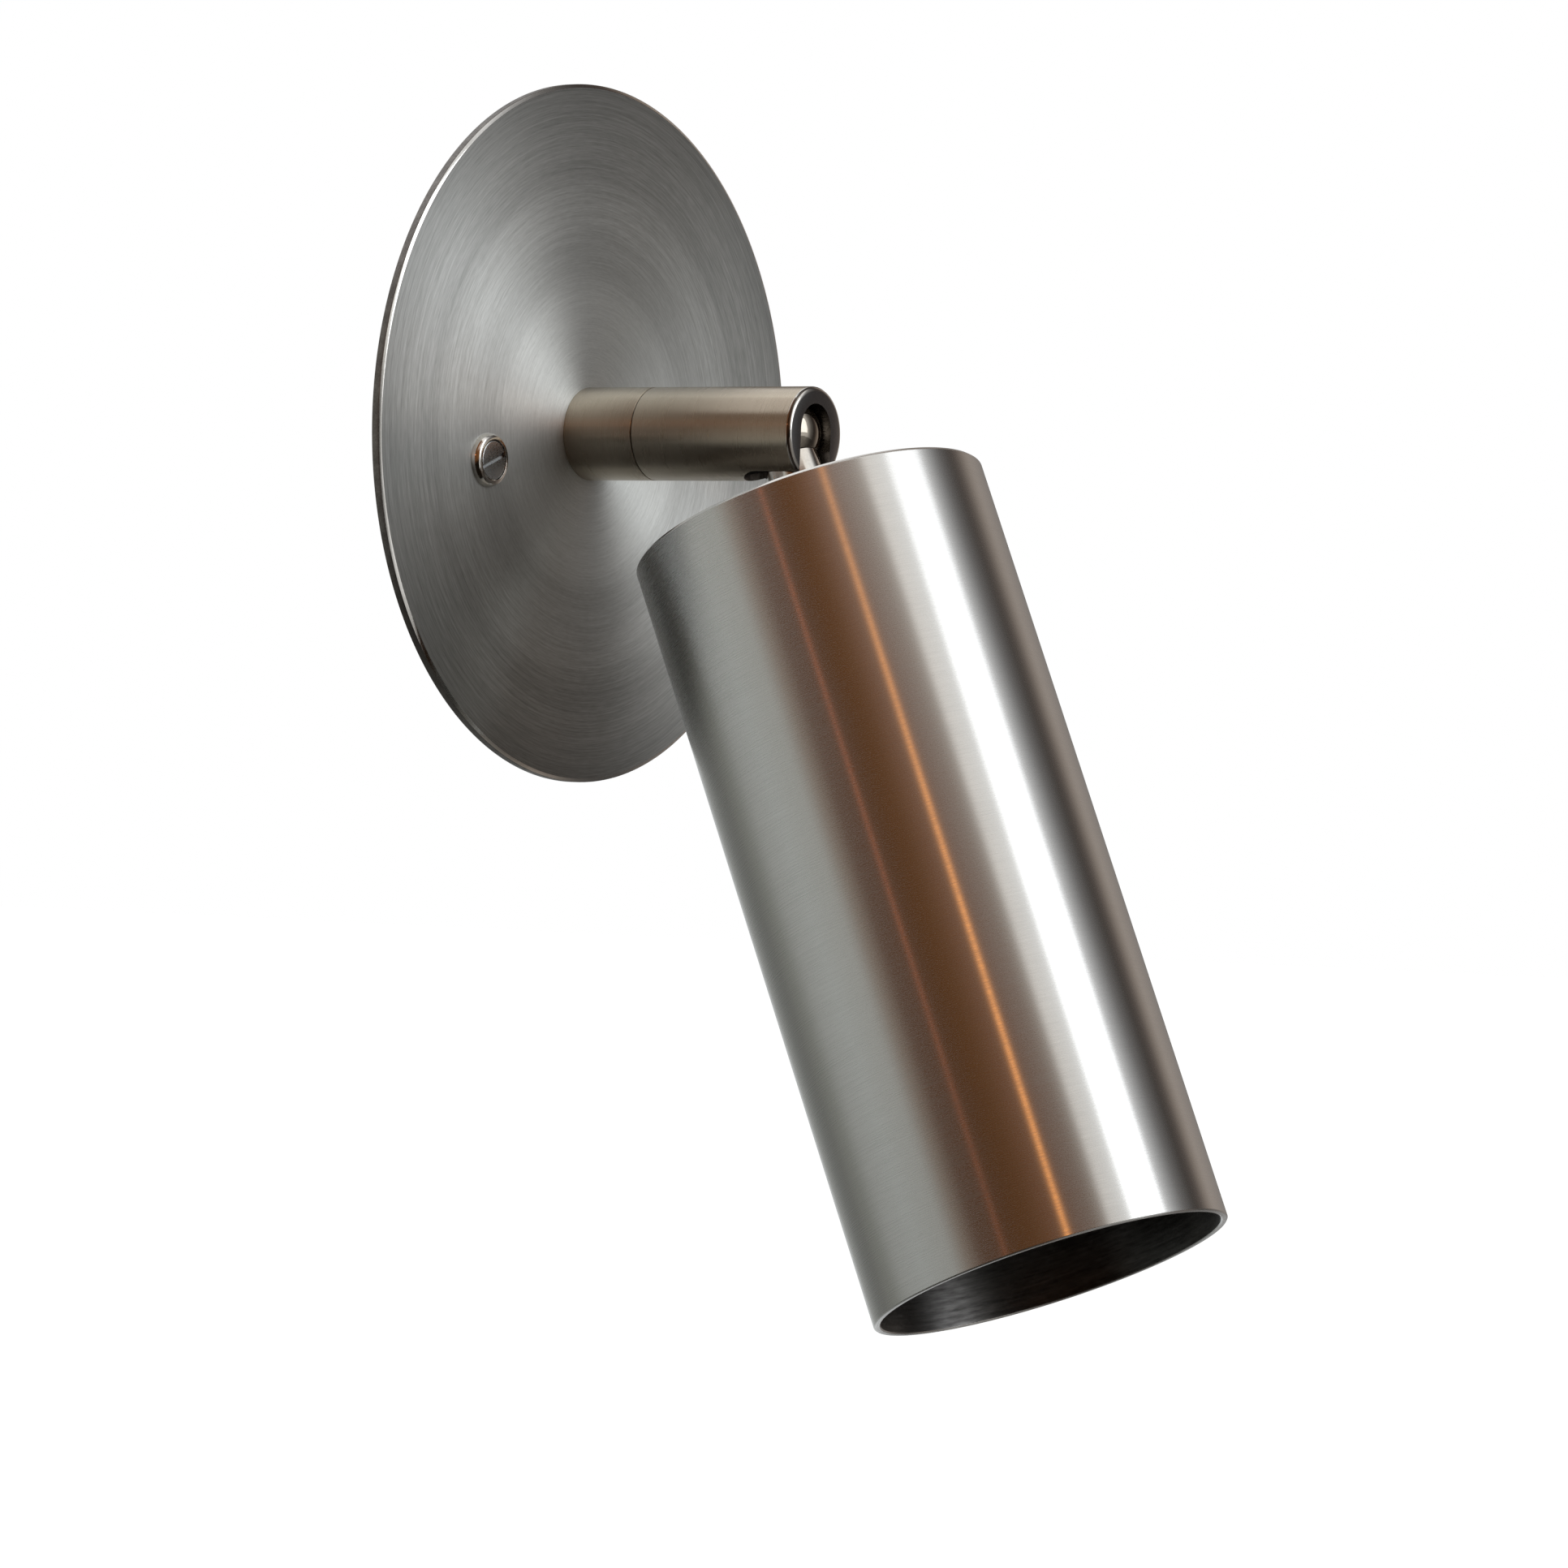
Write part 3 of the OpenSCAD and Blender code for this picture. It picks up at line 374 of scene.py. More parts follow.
def brushed_metal(name, tones, roughness, anisotropy, axis, girth_mm, groove_mm, depth, centre=(0, 0, 0),
                  disc=False, haze=0.0, contrast=0.2, rings=(), worn=0.0):
    """Metal brushed or turned round an axis: a tube or bar, or with disc a flat face, brushed in circles. The
    grooves are drawn groove_mm apart, a few times coarser than the belt or tool leaves them, so that they
    show; their length holds at a radius of girth_mm. Haze is the share of light that they scatter every way,
    and a small contrast range makes them stand out. A disc may have rings of tone, each from a radius in mm,
    which are faint steps of tone and also a painted sheen, lighter in the middle and darker at the rim; and a
    middle that is worn rougher."""
    long_mm, short_mm = 15, 2.2
    material, tree = new_material(name)
    place = add(tree, "ShaderNodeTexCoord")
    lie = Vector(axis).to_track_quat("Z", "Y").to_euler()
    on_axis = add(tree, "ShaderNodeMapping", {"Vector": place.outputs["Object"], "Rotation": lie,
                                              "Location": Vector(centre) * MM}, vector_type="TEXTURE")
    split = add(tree, "ShaderNodeSeparateXYZ", {0: on_axis.outputs[0]})
    flat = add(tree, "ShaderNodeCombineXYZ", {0: split.outputs[0], 1: split.outputs[1]})
    around = add(tree, "ShaderNodeVectorMath", {0: flat.outputs[0]}, operation="NORMALIZE")
    radius = add(tree, "ShaderNodeVectorMath", {0: flat.outputs[0]}, operation="LENGTH")
    across = radius.outputs["Value"] if disc else split.outputs[2]
    turn = add(tree, "ShaderNodeSeparateXYZ", {0: around.outputs[0]})
    groove = add(tree, "ShaderNodeMath", {0: across, 1: 1 / (groove_mm * MM)}, operation="MULTIPLY")
    groove_place = add(tree, "ShaderNodeCombineXYZ", {0: turn.outputs[0], 1: turn.outputs[1],
                                                      2: groove.outputs[0]})
    # long fine grooves, short deeper scratches laid over them, and slow changes of tone from the belt's edge
    long_place = add(tree, "ShaderNodeVectorMath",
                     {0: groove_place.outputs[0], 1: (girth_mm / long_mm, girth_mm / long_mm, 1)},
                     operation="MULTIPLY")
    long_marks = add(tree, "ShaderNodeTexNoise", {"Vector": long_place.outputs[0], "Scale": 1.0,
                                                  "Detail": 3.0, "Roughness": 0.6})
    short_place = add(tree, "ShaderNodeVectorMath",
                      {0: groove_place.outputs[0], 1: (girth_mm / short_mm, girth_mm / short_mm, 1.6)},
                      operation="MULTIPLY")
    short_marks = add(tree, "ShaderNodeTexNoise", {"Vector": short_place.outputs[0], "Scale": 1.0,
                                                   "Detail": 2.0, "Roughness": 0.5})
    slow_place = add(tree, "ShaderNodeVectorMath", {0: groove_place.outputs[0], 1: (0.7, 0.7, 0.03)},
                     operation="MULTIPLY")
    slow_marks = add(tree, "ShaderNodeTexNoise", {"Vector": slow_place.outputs[0], "Scale": 1.0,
                                                  "Detail": 2.0})
    fine = add(tree, "ShaderNodeMix", {0: 0.4, 2: long_marks.outputs[0], 3: short_marks.outputs[0]})
    marks = add(tree, "ShaderNodeMix", {0: 0.15, 2: fine.outputs[0], 3: slow_marks.outputs[0]}).outputs[0]
    if rings:
        # towards the middle of a disc the belt bears harder and leaves the face duller, its marks fainter
        out = add(tree, "ShaderNodeMath", {0: across, 1: 1 / (rings[-1][0] * MM)},
                  operation="MULTIPLY").outputs[0]
        inner = add(tree, "ShaderNodeMapRange", {"Value": out, "From Min": 0.8,
                                                 "From Max": 0.35}).outputs[0]
        calm = add(tree, "ShaderNodeMath", {0: inner, 1: 0.6}, operation="MULTIPLY").outputs[0]
        marks = add(tree, "ShaderNodeMix", {0: calm, 2: marks, 3: 0.5}).outputs[0]
    tint = banded(tree, marks, ((0.5 - contrast, tones[0]), (0.5 + contrast, tones[1])))
    rough = add(tree, "ShaderNodeMapRange",
                {"Value": marks, "From Min": 0.5 - contrast, "From Max": 0.5 + contrast,
                 "To Min": roughness + 0.06, "To Max": roughness - 0.06}).outputs[0]
    # painted sheen: the rings' tones, white in the middle and grey at the rim, are multiplied into the colour
    if rings:
        painted_sheen_ring_tone = banded(tree, out, [(radius_mm / rings[-1][0], tone) for radius_mm, tone in rings])
        tint = add(tree, "ShaderNodeMix", {0: 1.0, 6: tint, 7: painted_sheen_ring_tone}, data_type="RGBA",
                   blend_type="MULTIPLY").outputs[2]
        rough = add(tree, "ShaderNodeMath", {0: inner, 1: worn, 2: rough},
                    operation="MULTIPLY_ADD").outputs[0]
    relief = add(tree, "ShaderNodeBump", {"Height": fine.outputs[0], "Strength": depth,
                                          "Distance": groove_mm * MM * 0.3})
    grain = around.outputs[0] if disc else add(tree, "ShaderNodeCombineXYZ", {2: 1.0}).outputs[0]
    laid = add(tree, "ShaderNodeVectorRotate", {"Vector": grain, "Rotation": lie}, rotation_type="EULER_XYZ")
    over_grooves = add(tree, "ShaderNodeVectorTransform", {0: laid.outputs[0]}, vector_type="VECTOR",
                       convert_from="OBJECT", convert_to="WORLD")
    metal = add(tree, "ShaderNodeBsdfPrincipled",
                {"Base Color": tint, "Metallic": 1.0, "Roughness": rough,
                 "Anisotropic": anisotropy, "Tangent": over_grooves.outputs[0], "Normal": relief.outputs[0]})
    scatter = add(tree, "ShaderNodeBsdfPrincipled", {"Base Color": tint, "Metallic": 1.0, "Roughness": 0.62,
                                                     "Normal": relief.outputs[0]})
    surface = add(tree, "ShaderNodeMixShader", {0: haze, 1: metal.outputs[0], 2: scatter.outputs[0]})
    add(tree, "ShaderNodeOutputMaterial", {"Surface": surface.outputs[0]})
    return material


def surfaced(name, tones, grain_mm, roughness, metallic=0.0, relief=0.05, change=0.06, **sockets):
    """A finish with an even grain: two tones, a change of gloss and a fine relief at grain_mm."""
    material, tree = new_material(name)
    place = add(tree, "ShaderNodeTexCoord")
    grain = add(tree, "ShaderNodeTexNoise", {"Vector": place.outputs["Object"], "Scale": 1 / (grain_mm * MM),
                                             "Detail": 4.0, "Roughness": 0.6})
    cloud = add(tree, "ShaderNodeTexNoise", {"Vector": place.outputs["Object"],
                                             "Scale": 0.12 / (grain_mm * MM), "Detail": 3.0})
    both = add(tree, "ShaderNodeMix", {0: 0.5, 2: grain.outputs[0], 3: cloud.outputs[0]})
    tint = banded(tree, both.outputs[0], ((0.35, tones[0]), (0.65, tones[1])))
    gloss = add(tree, "ShaderNodeMapRange", {"Value": both.outputs[0], "From Min": 0.3, "From Max": 0.7,
                                             "To Min": roughness + change, "To Max": roughness - change})
    bumps = add(tree, "ShaderNodeBump", {"Height": grain.outputs[0], "Strength": relief,
                                         "Distance": grain_mm * MM * 0.5})
    surface = add(tree, "ShaderNodeBsdfPrincipled",
                  {"Base Color": tint, "Metallic": metallic, "Roughness": gloss.outputs[0],
                   "Normal": bumps.outputs[0], **sockets})
    add(tree, "ShaderNodeOutputMaterial", {"Surface": surface.outputs[0]})
    return material


def circle(radius, x=0, y=0, steps=48):
    """The outline of a round hole or bar."""
    return [(x + radius * math.cos(2 * math.pi * i / steps), y + radius * math.sin(2 * math.pi * i / steps))
            for i in range(steps)]


# austenitic stainless sheet, brushed in circles: broad bright fans where the light crosses the grooves, and
# faint rings of tone at a few radii; the rings also fall from white in the middle to grey at the rim, a
# painted sheen that makes the middle of the face lighter
plate_rings_and_painted_sheen = [(24, "#ffffff"), (28, "#ededed"), (34, "#ebebeb"), (37, "#f2f2f2"), (42, "#ececec"),
               (45, "#dadada"), (50, "#dedede"), (56, "#cfcfcf"), (60, "#c4c4c4")]
plate_steel = brushed_metal("stainless_sheet_brushed_in_circles", ("#babdbb", "#ecefee"), 0.42, 0.92,
                            axis=(0, -1, 0), girth_mm=40, groove_mm=0.3, depth=0.16, disc=True, haze=0.25,
                            contrast=0.16, rings=plate_rings_and_painted_sheen, worn=0.12)
# edges broken with a felt wheel after brushing
edge_steel = surfaced("stainless_edge_polished_by_felt_wheel", ("#bcbab6", "#cbc9c6"), 0.6, 0.1, 1.0, 0.02,
                      0.03)
# the disc's outer wall is dark grey and matt: partly the skin of the laser's cut, partly painted shade
# that stands in for the dark reflection of the wall close behind it
rim_wall_painted_dark = surfaced("stainless_rim_wall_cut_and_painted_dark", ("#666462", "#85827f"), 0.3, 0.5, 1.0, 0.2, 0.06)
plate_r = plate_d / 2
plate = turned([(nipple_hole_r, plate_t), (nipple_hole_r, relief_depth), (plate_r - rim_w, relief_depth, 0.1),
                (plate_r - rim_w, 0, 0.1), (plate_r, 0, 0.08), (plate_r, plate_t - plate_bevel / 2, 0.12),
                (plate_r - plate_bevel, plate_t, 0.15)], steps=256)
screw_x = screw_pitch / 2 * math.cos(math.radians(screw_turn))
screw_y = screw_pitch / 2 * math.sin(math.radians(screw_turn))
plate = worked(plate, [prism(circle(screw_hole_r, side * screw_x, side * screw_y - screw_drop), -past,
                             plate_t + past) for side in (-1, 1)])
shown_plate = set_in("wall_plate", plate, outward(0), plate_steel, "wall_side")
refinished(shown_plate, edge_steel, lambda centre, normal: centre.xz.length > plate_r - plate_bevel - 0.05)
refinished(shown_plate, rim_wall_painted_dark, lambda centre, normal: centre.xz.length > plate_r - 0.06)


# Plate screws
# Two cheese-head screws with a driver slot, each sunk in a turned cup. Both are nickel plated, the cups
# polished and the heads satin. The thread starts behind the plate, where the screw enters the wall box.

cup_r, cup_h, cup_taper, cup_bevel, cup_floor, cup_well_r = 4.6, 1.5, 0.35, 0.25, 0.4, 3.45
rim_fall = 0.13
head_r, head_h, slot_w, slot_depth, slot_turn = 3.3, 1.0, 0.8, 0.6, 11.4
screw_d, waist_d, screw_len, thread_pitch = 3.5, 3.0, 20, 0.6


def thread_rows(diameter, pitch, top, bottom, steps, bevel=0.0):
    """Rows of a screw thread from top down to bottom, with a bevelled end. Its crests are left a little
    flat and its roots a little round."""
    rows_a_pitch, depth_share = 7, 0.58
    turn = np.arange(steps) / steps
    rows = []
    for height in np.arange(top, bottom, -pitch / rows_a_pitch):
        side = np.abs(2 * ((height / pitch - turn) % 1) - 1)
        radii = diameter / 2 - depth_share * pitch * np.clip(1.25 * side - 0.1, 0, 1)
        rows.append((np.minimum(radii, diameter / 2 - bevel + (height - bottom)), height))
    return rows


def screw(head_r, head_h, slot_w, slot_depth, shank, slot_turn=0.0, steps=64):
    """A cheese-head screw that points down, its head's seat at zero. The shank's rows end on its tip."""
    head = rounded([(0, head_h), (head_r, head_h, 0.18), (head_r, 0, 0.06), (0, 0)])[:-1]
    body = swept(head + shank, steps, closed=False)
    slot = prism([(-2 * head_r, -slot_w / 2), (2 * head_r, -slot_w / 2), (2 * head_r, slot_w / 2),
                  (-2 * head_r, slot_w / 2)], head_h - slot_depth, head_h + past)
    slot.transform(Matrix.Rotation(math.radians(slot_turn), 4, "Z"))
    return worked(body, [slot])


def row_tree():
    """Geometry nodes that set a piece out in a row: its number, pitch and turn are inputs."""
    tree = bpy.data.node_groups.new("row_of_pieces", "GeometryNodeTree")
    tree.interface.new_socket("Geometry", in_out="OUTPUT", socket_type="NodeSocketGeometry")
    for name, kind in (("Geometry", "Geometry"), ("Number", "Int"), ("Pitch", "Float"), ("Turn", "Float"),
                       ("Finish", "Material")):
        tree.interface.new_socket(name, in_out="INPUT", socket_type="NodeSocket" + kind)
    given = add(tree, "NodeGroupInput")
    gaps = add(tree, "ShaderNodeMath", {0: given.outputs["Number"], 1: 1.0}, operation="SUBTRACT")
    half = add(tree, "ShaderNodeMath", {0: gaps.outputs[0], 1: -0.5}, operation="MULTIPLY")
    first = add(tree, "ShaderNodeMath", {0: half.outputs[0], 1: given.outputs["Pitch"]}, operation="MULTIPLY")
    start = add(tree, "ShaderNodeCombineXYZ", {0: first.outputs[0]})
    step = add(tree, "ShaderNodeCombineXYZ", {0: given.outputs["Pitch"]})
    row = add(tree, "GeometryNodeMeshLine",
              {"Count": given.outputs["Number"], "Start Location": start.outputs[0],
               "Offset": step.outputs[0]}, mode="OFFSET")
    placed = add(tree, "GeometryNodeInstanceOnPoints", {"Points": row.outputs[0],
                                                        "Instance": given.outputs["Geometry"]})
    angle = add(tree, "ShaderNodeCombineXYZ", {2: given.outputs["Turn"]})
    turned_row = add(tree, "GeometryNodeTransform", {"Geometry": placed.outputs[0],
                                                     "Rotation": angle.outputs[0]})
    real = add(tree, "GeometryNodeRealizeInstances", {0: turned_row.outputs[0]})
    finished = add(tree, "GeometryNodeSetMaterial", {"Geometry": real.outputs[0],
                                                     "Material": given.outputs["Finish"]})
    add(tree, "NodeGroupOutput", {0: finished.outputs[0]})
    return tree


row_of_pieces = row_tree()


def in_a_row(mesh, number, pitch, finish, turn=0.0):
    """Sets a piece out in a row across its own x, turned about its own z."""
    holder = bpy.data.objects.new("row", mesh)
    bpy.context.scene.collection.objects.link(holder)
    modifier = holder.modifiers.new("row", "NODES")
    modifier.node_group = row_of_pieces
    sockets = {item.name: item.identifier for item in row_of_pieces.interface.items_tree
               if item.in_out == "INPUT"}
    for name, value in (("Number", number), ("Pitch", float(pitch)), ("Turn", math.radians(turn)),
                        ("Finish", finish)):
        modifier[sockets[name]] = value
    result = bpy.data.meshes.new_from_object(
        holder.evaluated_get(bpy.context.evaluated_depsgraph_get()))
    holder.modifiers.clear()
    bpy.data.objects.remove(holder)
    return result


# bright nickel on steel, polished: a warm grey mirror with faint cloudy handling marks
polished_steel = surfaced("polished_nickel_plate", ("#cbc8c3", "#d8d6d2"), 0.5, 0.1, 1.0, 0.02, 0.04)
# the same plate left satin on the driven heads
satin_steel = surfaced("satin_nickel_plate", ("#b6b9bb", "#c8cbcc"), 0.4, 0.27, 1.0, 0.05, 0.05)
# the cup's flank leaves the plate nearly upright and curves in; its rim falls a little outwards
flank_shares, flank_curve = np.linspace(0, 0.85, 8), 2.2
cup_flank = [(cup_r - (cup_taper + cup_bevel) * share ** flank_curve, cup_h * share)
             for share in flank_shares]
cup_rim = [(cup_r - cup_taper - cup_bevel, cup_h - rim_fall, 0.12), (cup_well_r, cup_h, 0.08)]
cup = turned([(screw_hole_r, 0)] + cup_flank + cup_rim + [(cup_well_r, cup_floor), (screw_hole_r, cup_floor)],
             steps=96)
under_arm = Matrix.Translation((0, -screw_drop, 0))
set_in("screw_cups", in_a_row(cup, 2, screw_pitch, polished_steel, screw_turn), outward(plate_t) @ under_arm,
       polished_steel, "wall_side")
screw_seat = plate_t + cup_floor
plate_screw = screw(head_r, head_h, slot_w, slot_depth,
                    [(waist_d / 2, 0), (waist_d / 2, -screw_seat)] +
                    thread_rows(screw_d, thread_pitch, -screw_seat, -screw_len, 64, bevel=0.5) +
                    [(0, -screw_len)], slot_turn)
set_in("plate_screws", in_a_row(plate_screw, 2, screw_pitch, satin_steel, screw_turn),
       outward(screw_seat) @ under_arm, satin_steel, "wall_side")


# Collar
# The arm's fixed foot: a length of stainless bar, bored, turned to the arm's diameter and clamped to the
# plate by the hollow nipple. Fine bevels leave the two seams. A pin in its front stops the arm's turn.

arm_r, collar_len, seam_bevel, pin_circle_r, pin_hole_r, pin_hold = 8, 14, 0.1, 5.4, 0.75, 3
collar_front = plate_t + collar_len
# stainless bar turned with a fine feed: tight rings that smear each reflection along the arm. Its colour is
# painted warmer and darker than the shade's steel, a painted reflection of the brown room round it
arm_steel_painted_reflection = brushed_metal("stainless_bar_turned_painted_warm", ("#b2a898", "#bbb1a2"), 0.26, 0.97,
                          axis=(0, -1, 0), girth_mm=arm_r, groove_mm=0.16, depth=0.04, contrast=0.4)
collar = turned([(nipple_hole_r, 0), (arm_r, 0, seam_bevel), (arm_r, collar_len, seam_bevel),
                 (nipple_hole_r, collar_len)])
collar = worked(collar, [prism(circle(pin_hole_r, 0, pin_circle_r, 24), collar_len - pin_hold,
                               collar_len + past)])
set_in("arm_collar", collar, outward(plate_t), arm_steel_painted_reflection, "wall_side")


# Nipple and what is on it behind the plate
# A hollow brass thread that carries the leads, with a washer, the tag for the earth lead, the strip that
# carries the terminals, a split spring washer and a hexagon nut. The pressed steel is zinc plated.

nipple_r, nipple_bore_r, nipple_pitch, nipple_back, nipple_front = 4, 2.75, 1.0, -8.7, 23.6
washer_back, washer_r, washer_t = -0.6, 10, 1.0
tag_back, tag_t, tag_len, tag_w, ring_r = -1.4, 0.8, 18, 4, 6.5
carrier_back, carrier_t, carrier_w, carrier_top, carrier_drop = -2.4, 1.0, 16, 6.5, 23.5
lock_back, lock_t, lock_r, nut_back, nut_h, nut_flats = -3.2, 0.8, 6.5, -7.2, 4, 13
block_drop, bracket_hole_x, small_hole_r = 16.5, 5, 1.55
nipple_chamfer, tag_root, tag_corner_r, carrier_corner_r = 0.5, 1.5, 1.2, 1.5

# free-cutting brass, as turned: a clear yellow with an even fine grain, dulled a little by handling
brass = surfaced("turned_free_cutting_brass", ("#c9a055", "#dcb973"), 0.35, 0.28, 1.0, 0.06, 0.08)
# bright zinc with a clear passivate: bluish, with a soft bloom
zinc_steel = surfaced("zinc_plated_pressed_steel", ("#a9adb1", "#c6c8c9"), 0.9, 0.36, 1.0, 0.08, 0.09)
# hardened strip, blued and oiled
spring_steel = surfaced("oiled_spring_steel", ("#4c4b4c", "#625f5c"), 0.4, 0.32, 1.0, 0.05, 0.07)

nipple = swept([(nipple_r - nipple_chamfer, nipple_front)] +
               thread_rows(nipple_r * 2, nipple_pitch, nipple_front - 0.05, nipple_back, 64, bevel=0.4) +
               [(nipple_r - nipple_chamfer, nipple_back), (nipple_bore_r, nipple_back),
                (nipple_bore_r, nipple_front)], 64, closed=True)
set_in("swivel_nipple", nipple, outward(0), brass, "wall_side")
washer = turned([(nipple_hole_r, 0, 0.12), (washer_r, 0, 0.2), (washer_r, washer_t, 0.3),
                 (nipple_hole_r, washer_t, 0.12)], steps=96)
set_in("nipple_washer", washer, outward(washer_back), zinc_steel, "wall_side")

tag_angle = math.acos(tag_w / 2 / ring_r)
tag_outline = [(ring_r * math.cos(a), ring_r * math.sin(a))
               for a in np.linspace(math.pi - tag_angle, 2 * math.pi + tag_angle, 60)]
tag_outline += rounded([(tag_w / 2, ring_r + tag_root), (tag_w / 2, tag_len, tag_corner_r),
                        (-tag_w / 2, tag_len, tag_corner_r), (-tag_w / 2, ring_r + tag_root)])
tag_top = tag_t + past
tag_hole = circle(tag_w / 4, 0, tag_len - tag_w / 2, 24)
tag = worked(prism(tag_outline, 0, tag_t), [prism(circle(nipple_hole_r), -past, tag_top),
                                            prism(tag_hole, -past, tag_top)], ease=0.12)
set_in("earth_tag", tag, outward(tag_back), brass, "wall_side")

carrier_outline = rounded([(-carrier_w / 2, -carrier_drop, carrier_corner_r),
                           (carrier_w / 2, -carrier_drop, carrier_corner_r),
                           (carrier_w / 2, carrier_top, carrier_corner_r),
                           (-carrier_w / 2, carrier_top, carrier_corner_r)])
carrier = worked(prism(carrier_outline, 0, carrier_t),
                 [prism(circle(nipple_hole_r), -past, carrier_t + past)] +
                 [prism(circle(small_hole_r, side * bracket_hole_x, -block_drop, 24), -past, carrier_t + past)
                  for side in (-1, 1)], ease=0.12)
set_in("terminal_bracket", carrier, outward(carrier_back), zinc_steel, "wall_side")


def split_washer(outer_r, inner_r, height):
    """A spring washer, cut through at a slant."""
    gap_half, gap_slant, reach = 0.35, 25, outer_r + past
    ring = turned([(inner_r, 0, 0.08), (outer_r, 0, 0.1), (outer_r, height, 0.1), (inner_r, height, 0.08)],
                  steps=96)
    gap = prism([(0, -gap_half), (reach, -gap_half), (reach, gap_half), (0, gap_half)], -past, height + past)
    gap.transform(Matrix.Rotation(math.radians(gap_slant), 4, "X"))
    return worked(ring, [gap])


def hexagon_nut(flats, height, bore_r, steps=96):
    """A hexagon nut whose corners are turned off at both faces, to a circle inside the flats and a slope."""
    face_share, corner_slope, lead_in_w, lead_in_h = 0.955, 1.73, 0.45, 0.4
    turn = np.arange(steps) * 360 / steps
    hexagon = flats / 2 / np.cos(np.radians(turn % 60 - 30))
    height_shares = (0, 0.02, 0.05, 0.09, 0.14, 0.2, 0.5, 0.8, 0.86, 0.91, 0.95, 0.98, 1)
    rows = []
    for share in height_shares:
        from_face = min(share, 1 - share) * height
        rows.append((np.minimum(hexagon, flats / 2 * face_share + corner_slope * from_face), share * height))
    rows += [(bore_r + lead_in_w, height), (bore_r, height - lead_in_h), (bore_r, lead_in_h),
             (bore_r + lead_in_w, 0)]
    return swept(rows, steps, closed=True)


set_in("nipple_lock_washer", split_washer(lock_r, nipple_hole_r, lock_t), outward(lock_back), spring_steel,
       "wall_side")
set_in("nipple_nut", hexagon_nut(nut_flats, nut_h, nipple_hole_r), outward(nut_back), brass,
       "wall_side")


# Terminals
# A three-pole block of natural polyamide for the supply leads. Each pole is a drilled brass sleeve with two
# grub screws, sunk in wells. Two long screws hold the block on its strip.

block_w, block_h, block_depth, block_back = 30, 14, 12, -14.4
pole_pitch, sleeve_depth, sleeve_r, sleeve_bore_r, row_offset = 10, 4, 2.5, 1.5, 4.2
grub_r, grub_well_r, grub_top, grub_len, small_head_r, small_well_r = 1.2, 1.35, 0.6, 2.65, 2.75, 2.9
small_screw_d, small_head_h, small_pitch, play = 3.0, 2.0, 0.5, 0.05
pole_count, block_corner_r, sleeve_edge, grub_chamfer = 3, 0.8, 0.15, 0.15
# polyamide, moulded, undyed: waxy off-white with a fine spark-eroded grain
block_polymer = surfaced("moulded_natural_polyamide", ("#dcd9cd", "#e8e6dc"), 0.25, 0.46, 0.0, 0.15, 0.06,
                         **{"IOR": 1.53, "Subsurface Weight": 0.1, "Subsurface Scale": 0.0006})


def upright(radius, x, length, depth, steps=40):
    """A round bar that runs up and down through the block at a depth."""
    bar = prism(circle(radius, 0, 0, steps), -length / 2, length / 2)
    bar.transform(Matrix.Translation((x, -block_drop, depth)) @ Matrix.Rotation(math.radians(90), 4, "X"))
    return bar


pole_places = [(pole - (pole_count - 1) / 2) * pole_pitch for pole in range(pole_count)]
grub_places = [(x, -block_drop + row) for x in pole_places for row in (-row_offset, row_offset)]
block_low, block_high = -block_drop - block_h / 2, -block_drop + block_h / 2
block_outline = rounded([(-block_w / 2, block_low, block_corner_r), (block_w / 2, block_low, block_corner_r),
                         (block_w / 2, block_high, block_corner_r),
                         (-block_w / 2, block_high, block_corner_r)])
block_cuts = [upright(sleeve_r + play, x, block_h + 2 * past, sleeve_depth) for x in pole_places]
block_cuts += [prism(circle(grub_well_r, x, y, 32), -past, sleeve_depth) for x, y in grub_places]
# between the poles, a hole for the screw, and a snap-off groove above and below it
groove_half, groove_depth, groove_clear = 0.6, 1.4, 3.6
for x in (-pole_pitch / 2, pole_pitch / 2):
    block_cuts += [prism(circle(small_hole_r, x, -block_drop, 32), -past, block_depth + past),
                   prism(circle(small_well_r, x, -block_drop, 40), -past, small_head_h)]
    for low, high in ((block_low - past, -block_drop - groove_clear),
                      (-block_drop + groove_clear, block_high + past)):
        left, right = x - groove_half, x + groove_half
        groove = [(left, low), (right, low), (right, high), (left, high)]
        block_cuts.append(prism(groove, -past, groove_depth))
block = worked(prism(block_outline, 0, block_depth), block_cuts, ease=0.15)
set_in("terminal_block", block, outward(block_back), block_polymer, "wall_side")

sleeve = turned([(sleeve_bore_r, -block_h / 2, sleeve_edge), (sleeve_r, -block_h / 2, sleeve_edge),
                 (sleeve_r, block_h / 2, sleeve_edge), (sleeve_bore_r, block_h / 2, sleeve_edge)], steps=48)
sleeve.transform(Matrix.Translation((0, -block_drop, sleeve_depth)) @
                 Matrix.Rotation(math.radians(90), 4, "X"))
sleeve = worked(sleeve, [prism(circle(grub_r + play, 0, -block_drop + row, 32), -past, sleeve_depth)
                         for row in (-row_offset, row_offset)])
set_in("terminal_sleeves", in_a_row(sleeve, pole_count, pole_pitch, brass), outward(block_back), brass,
       "wall_side")

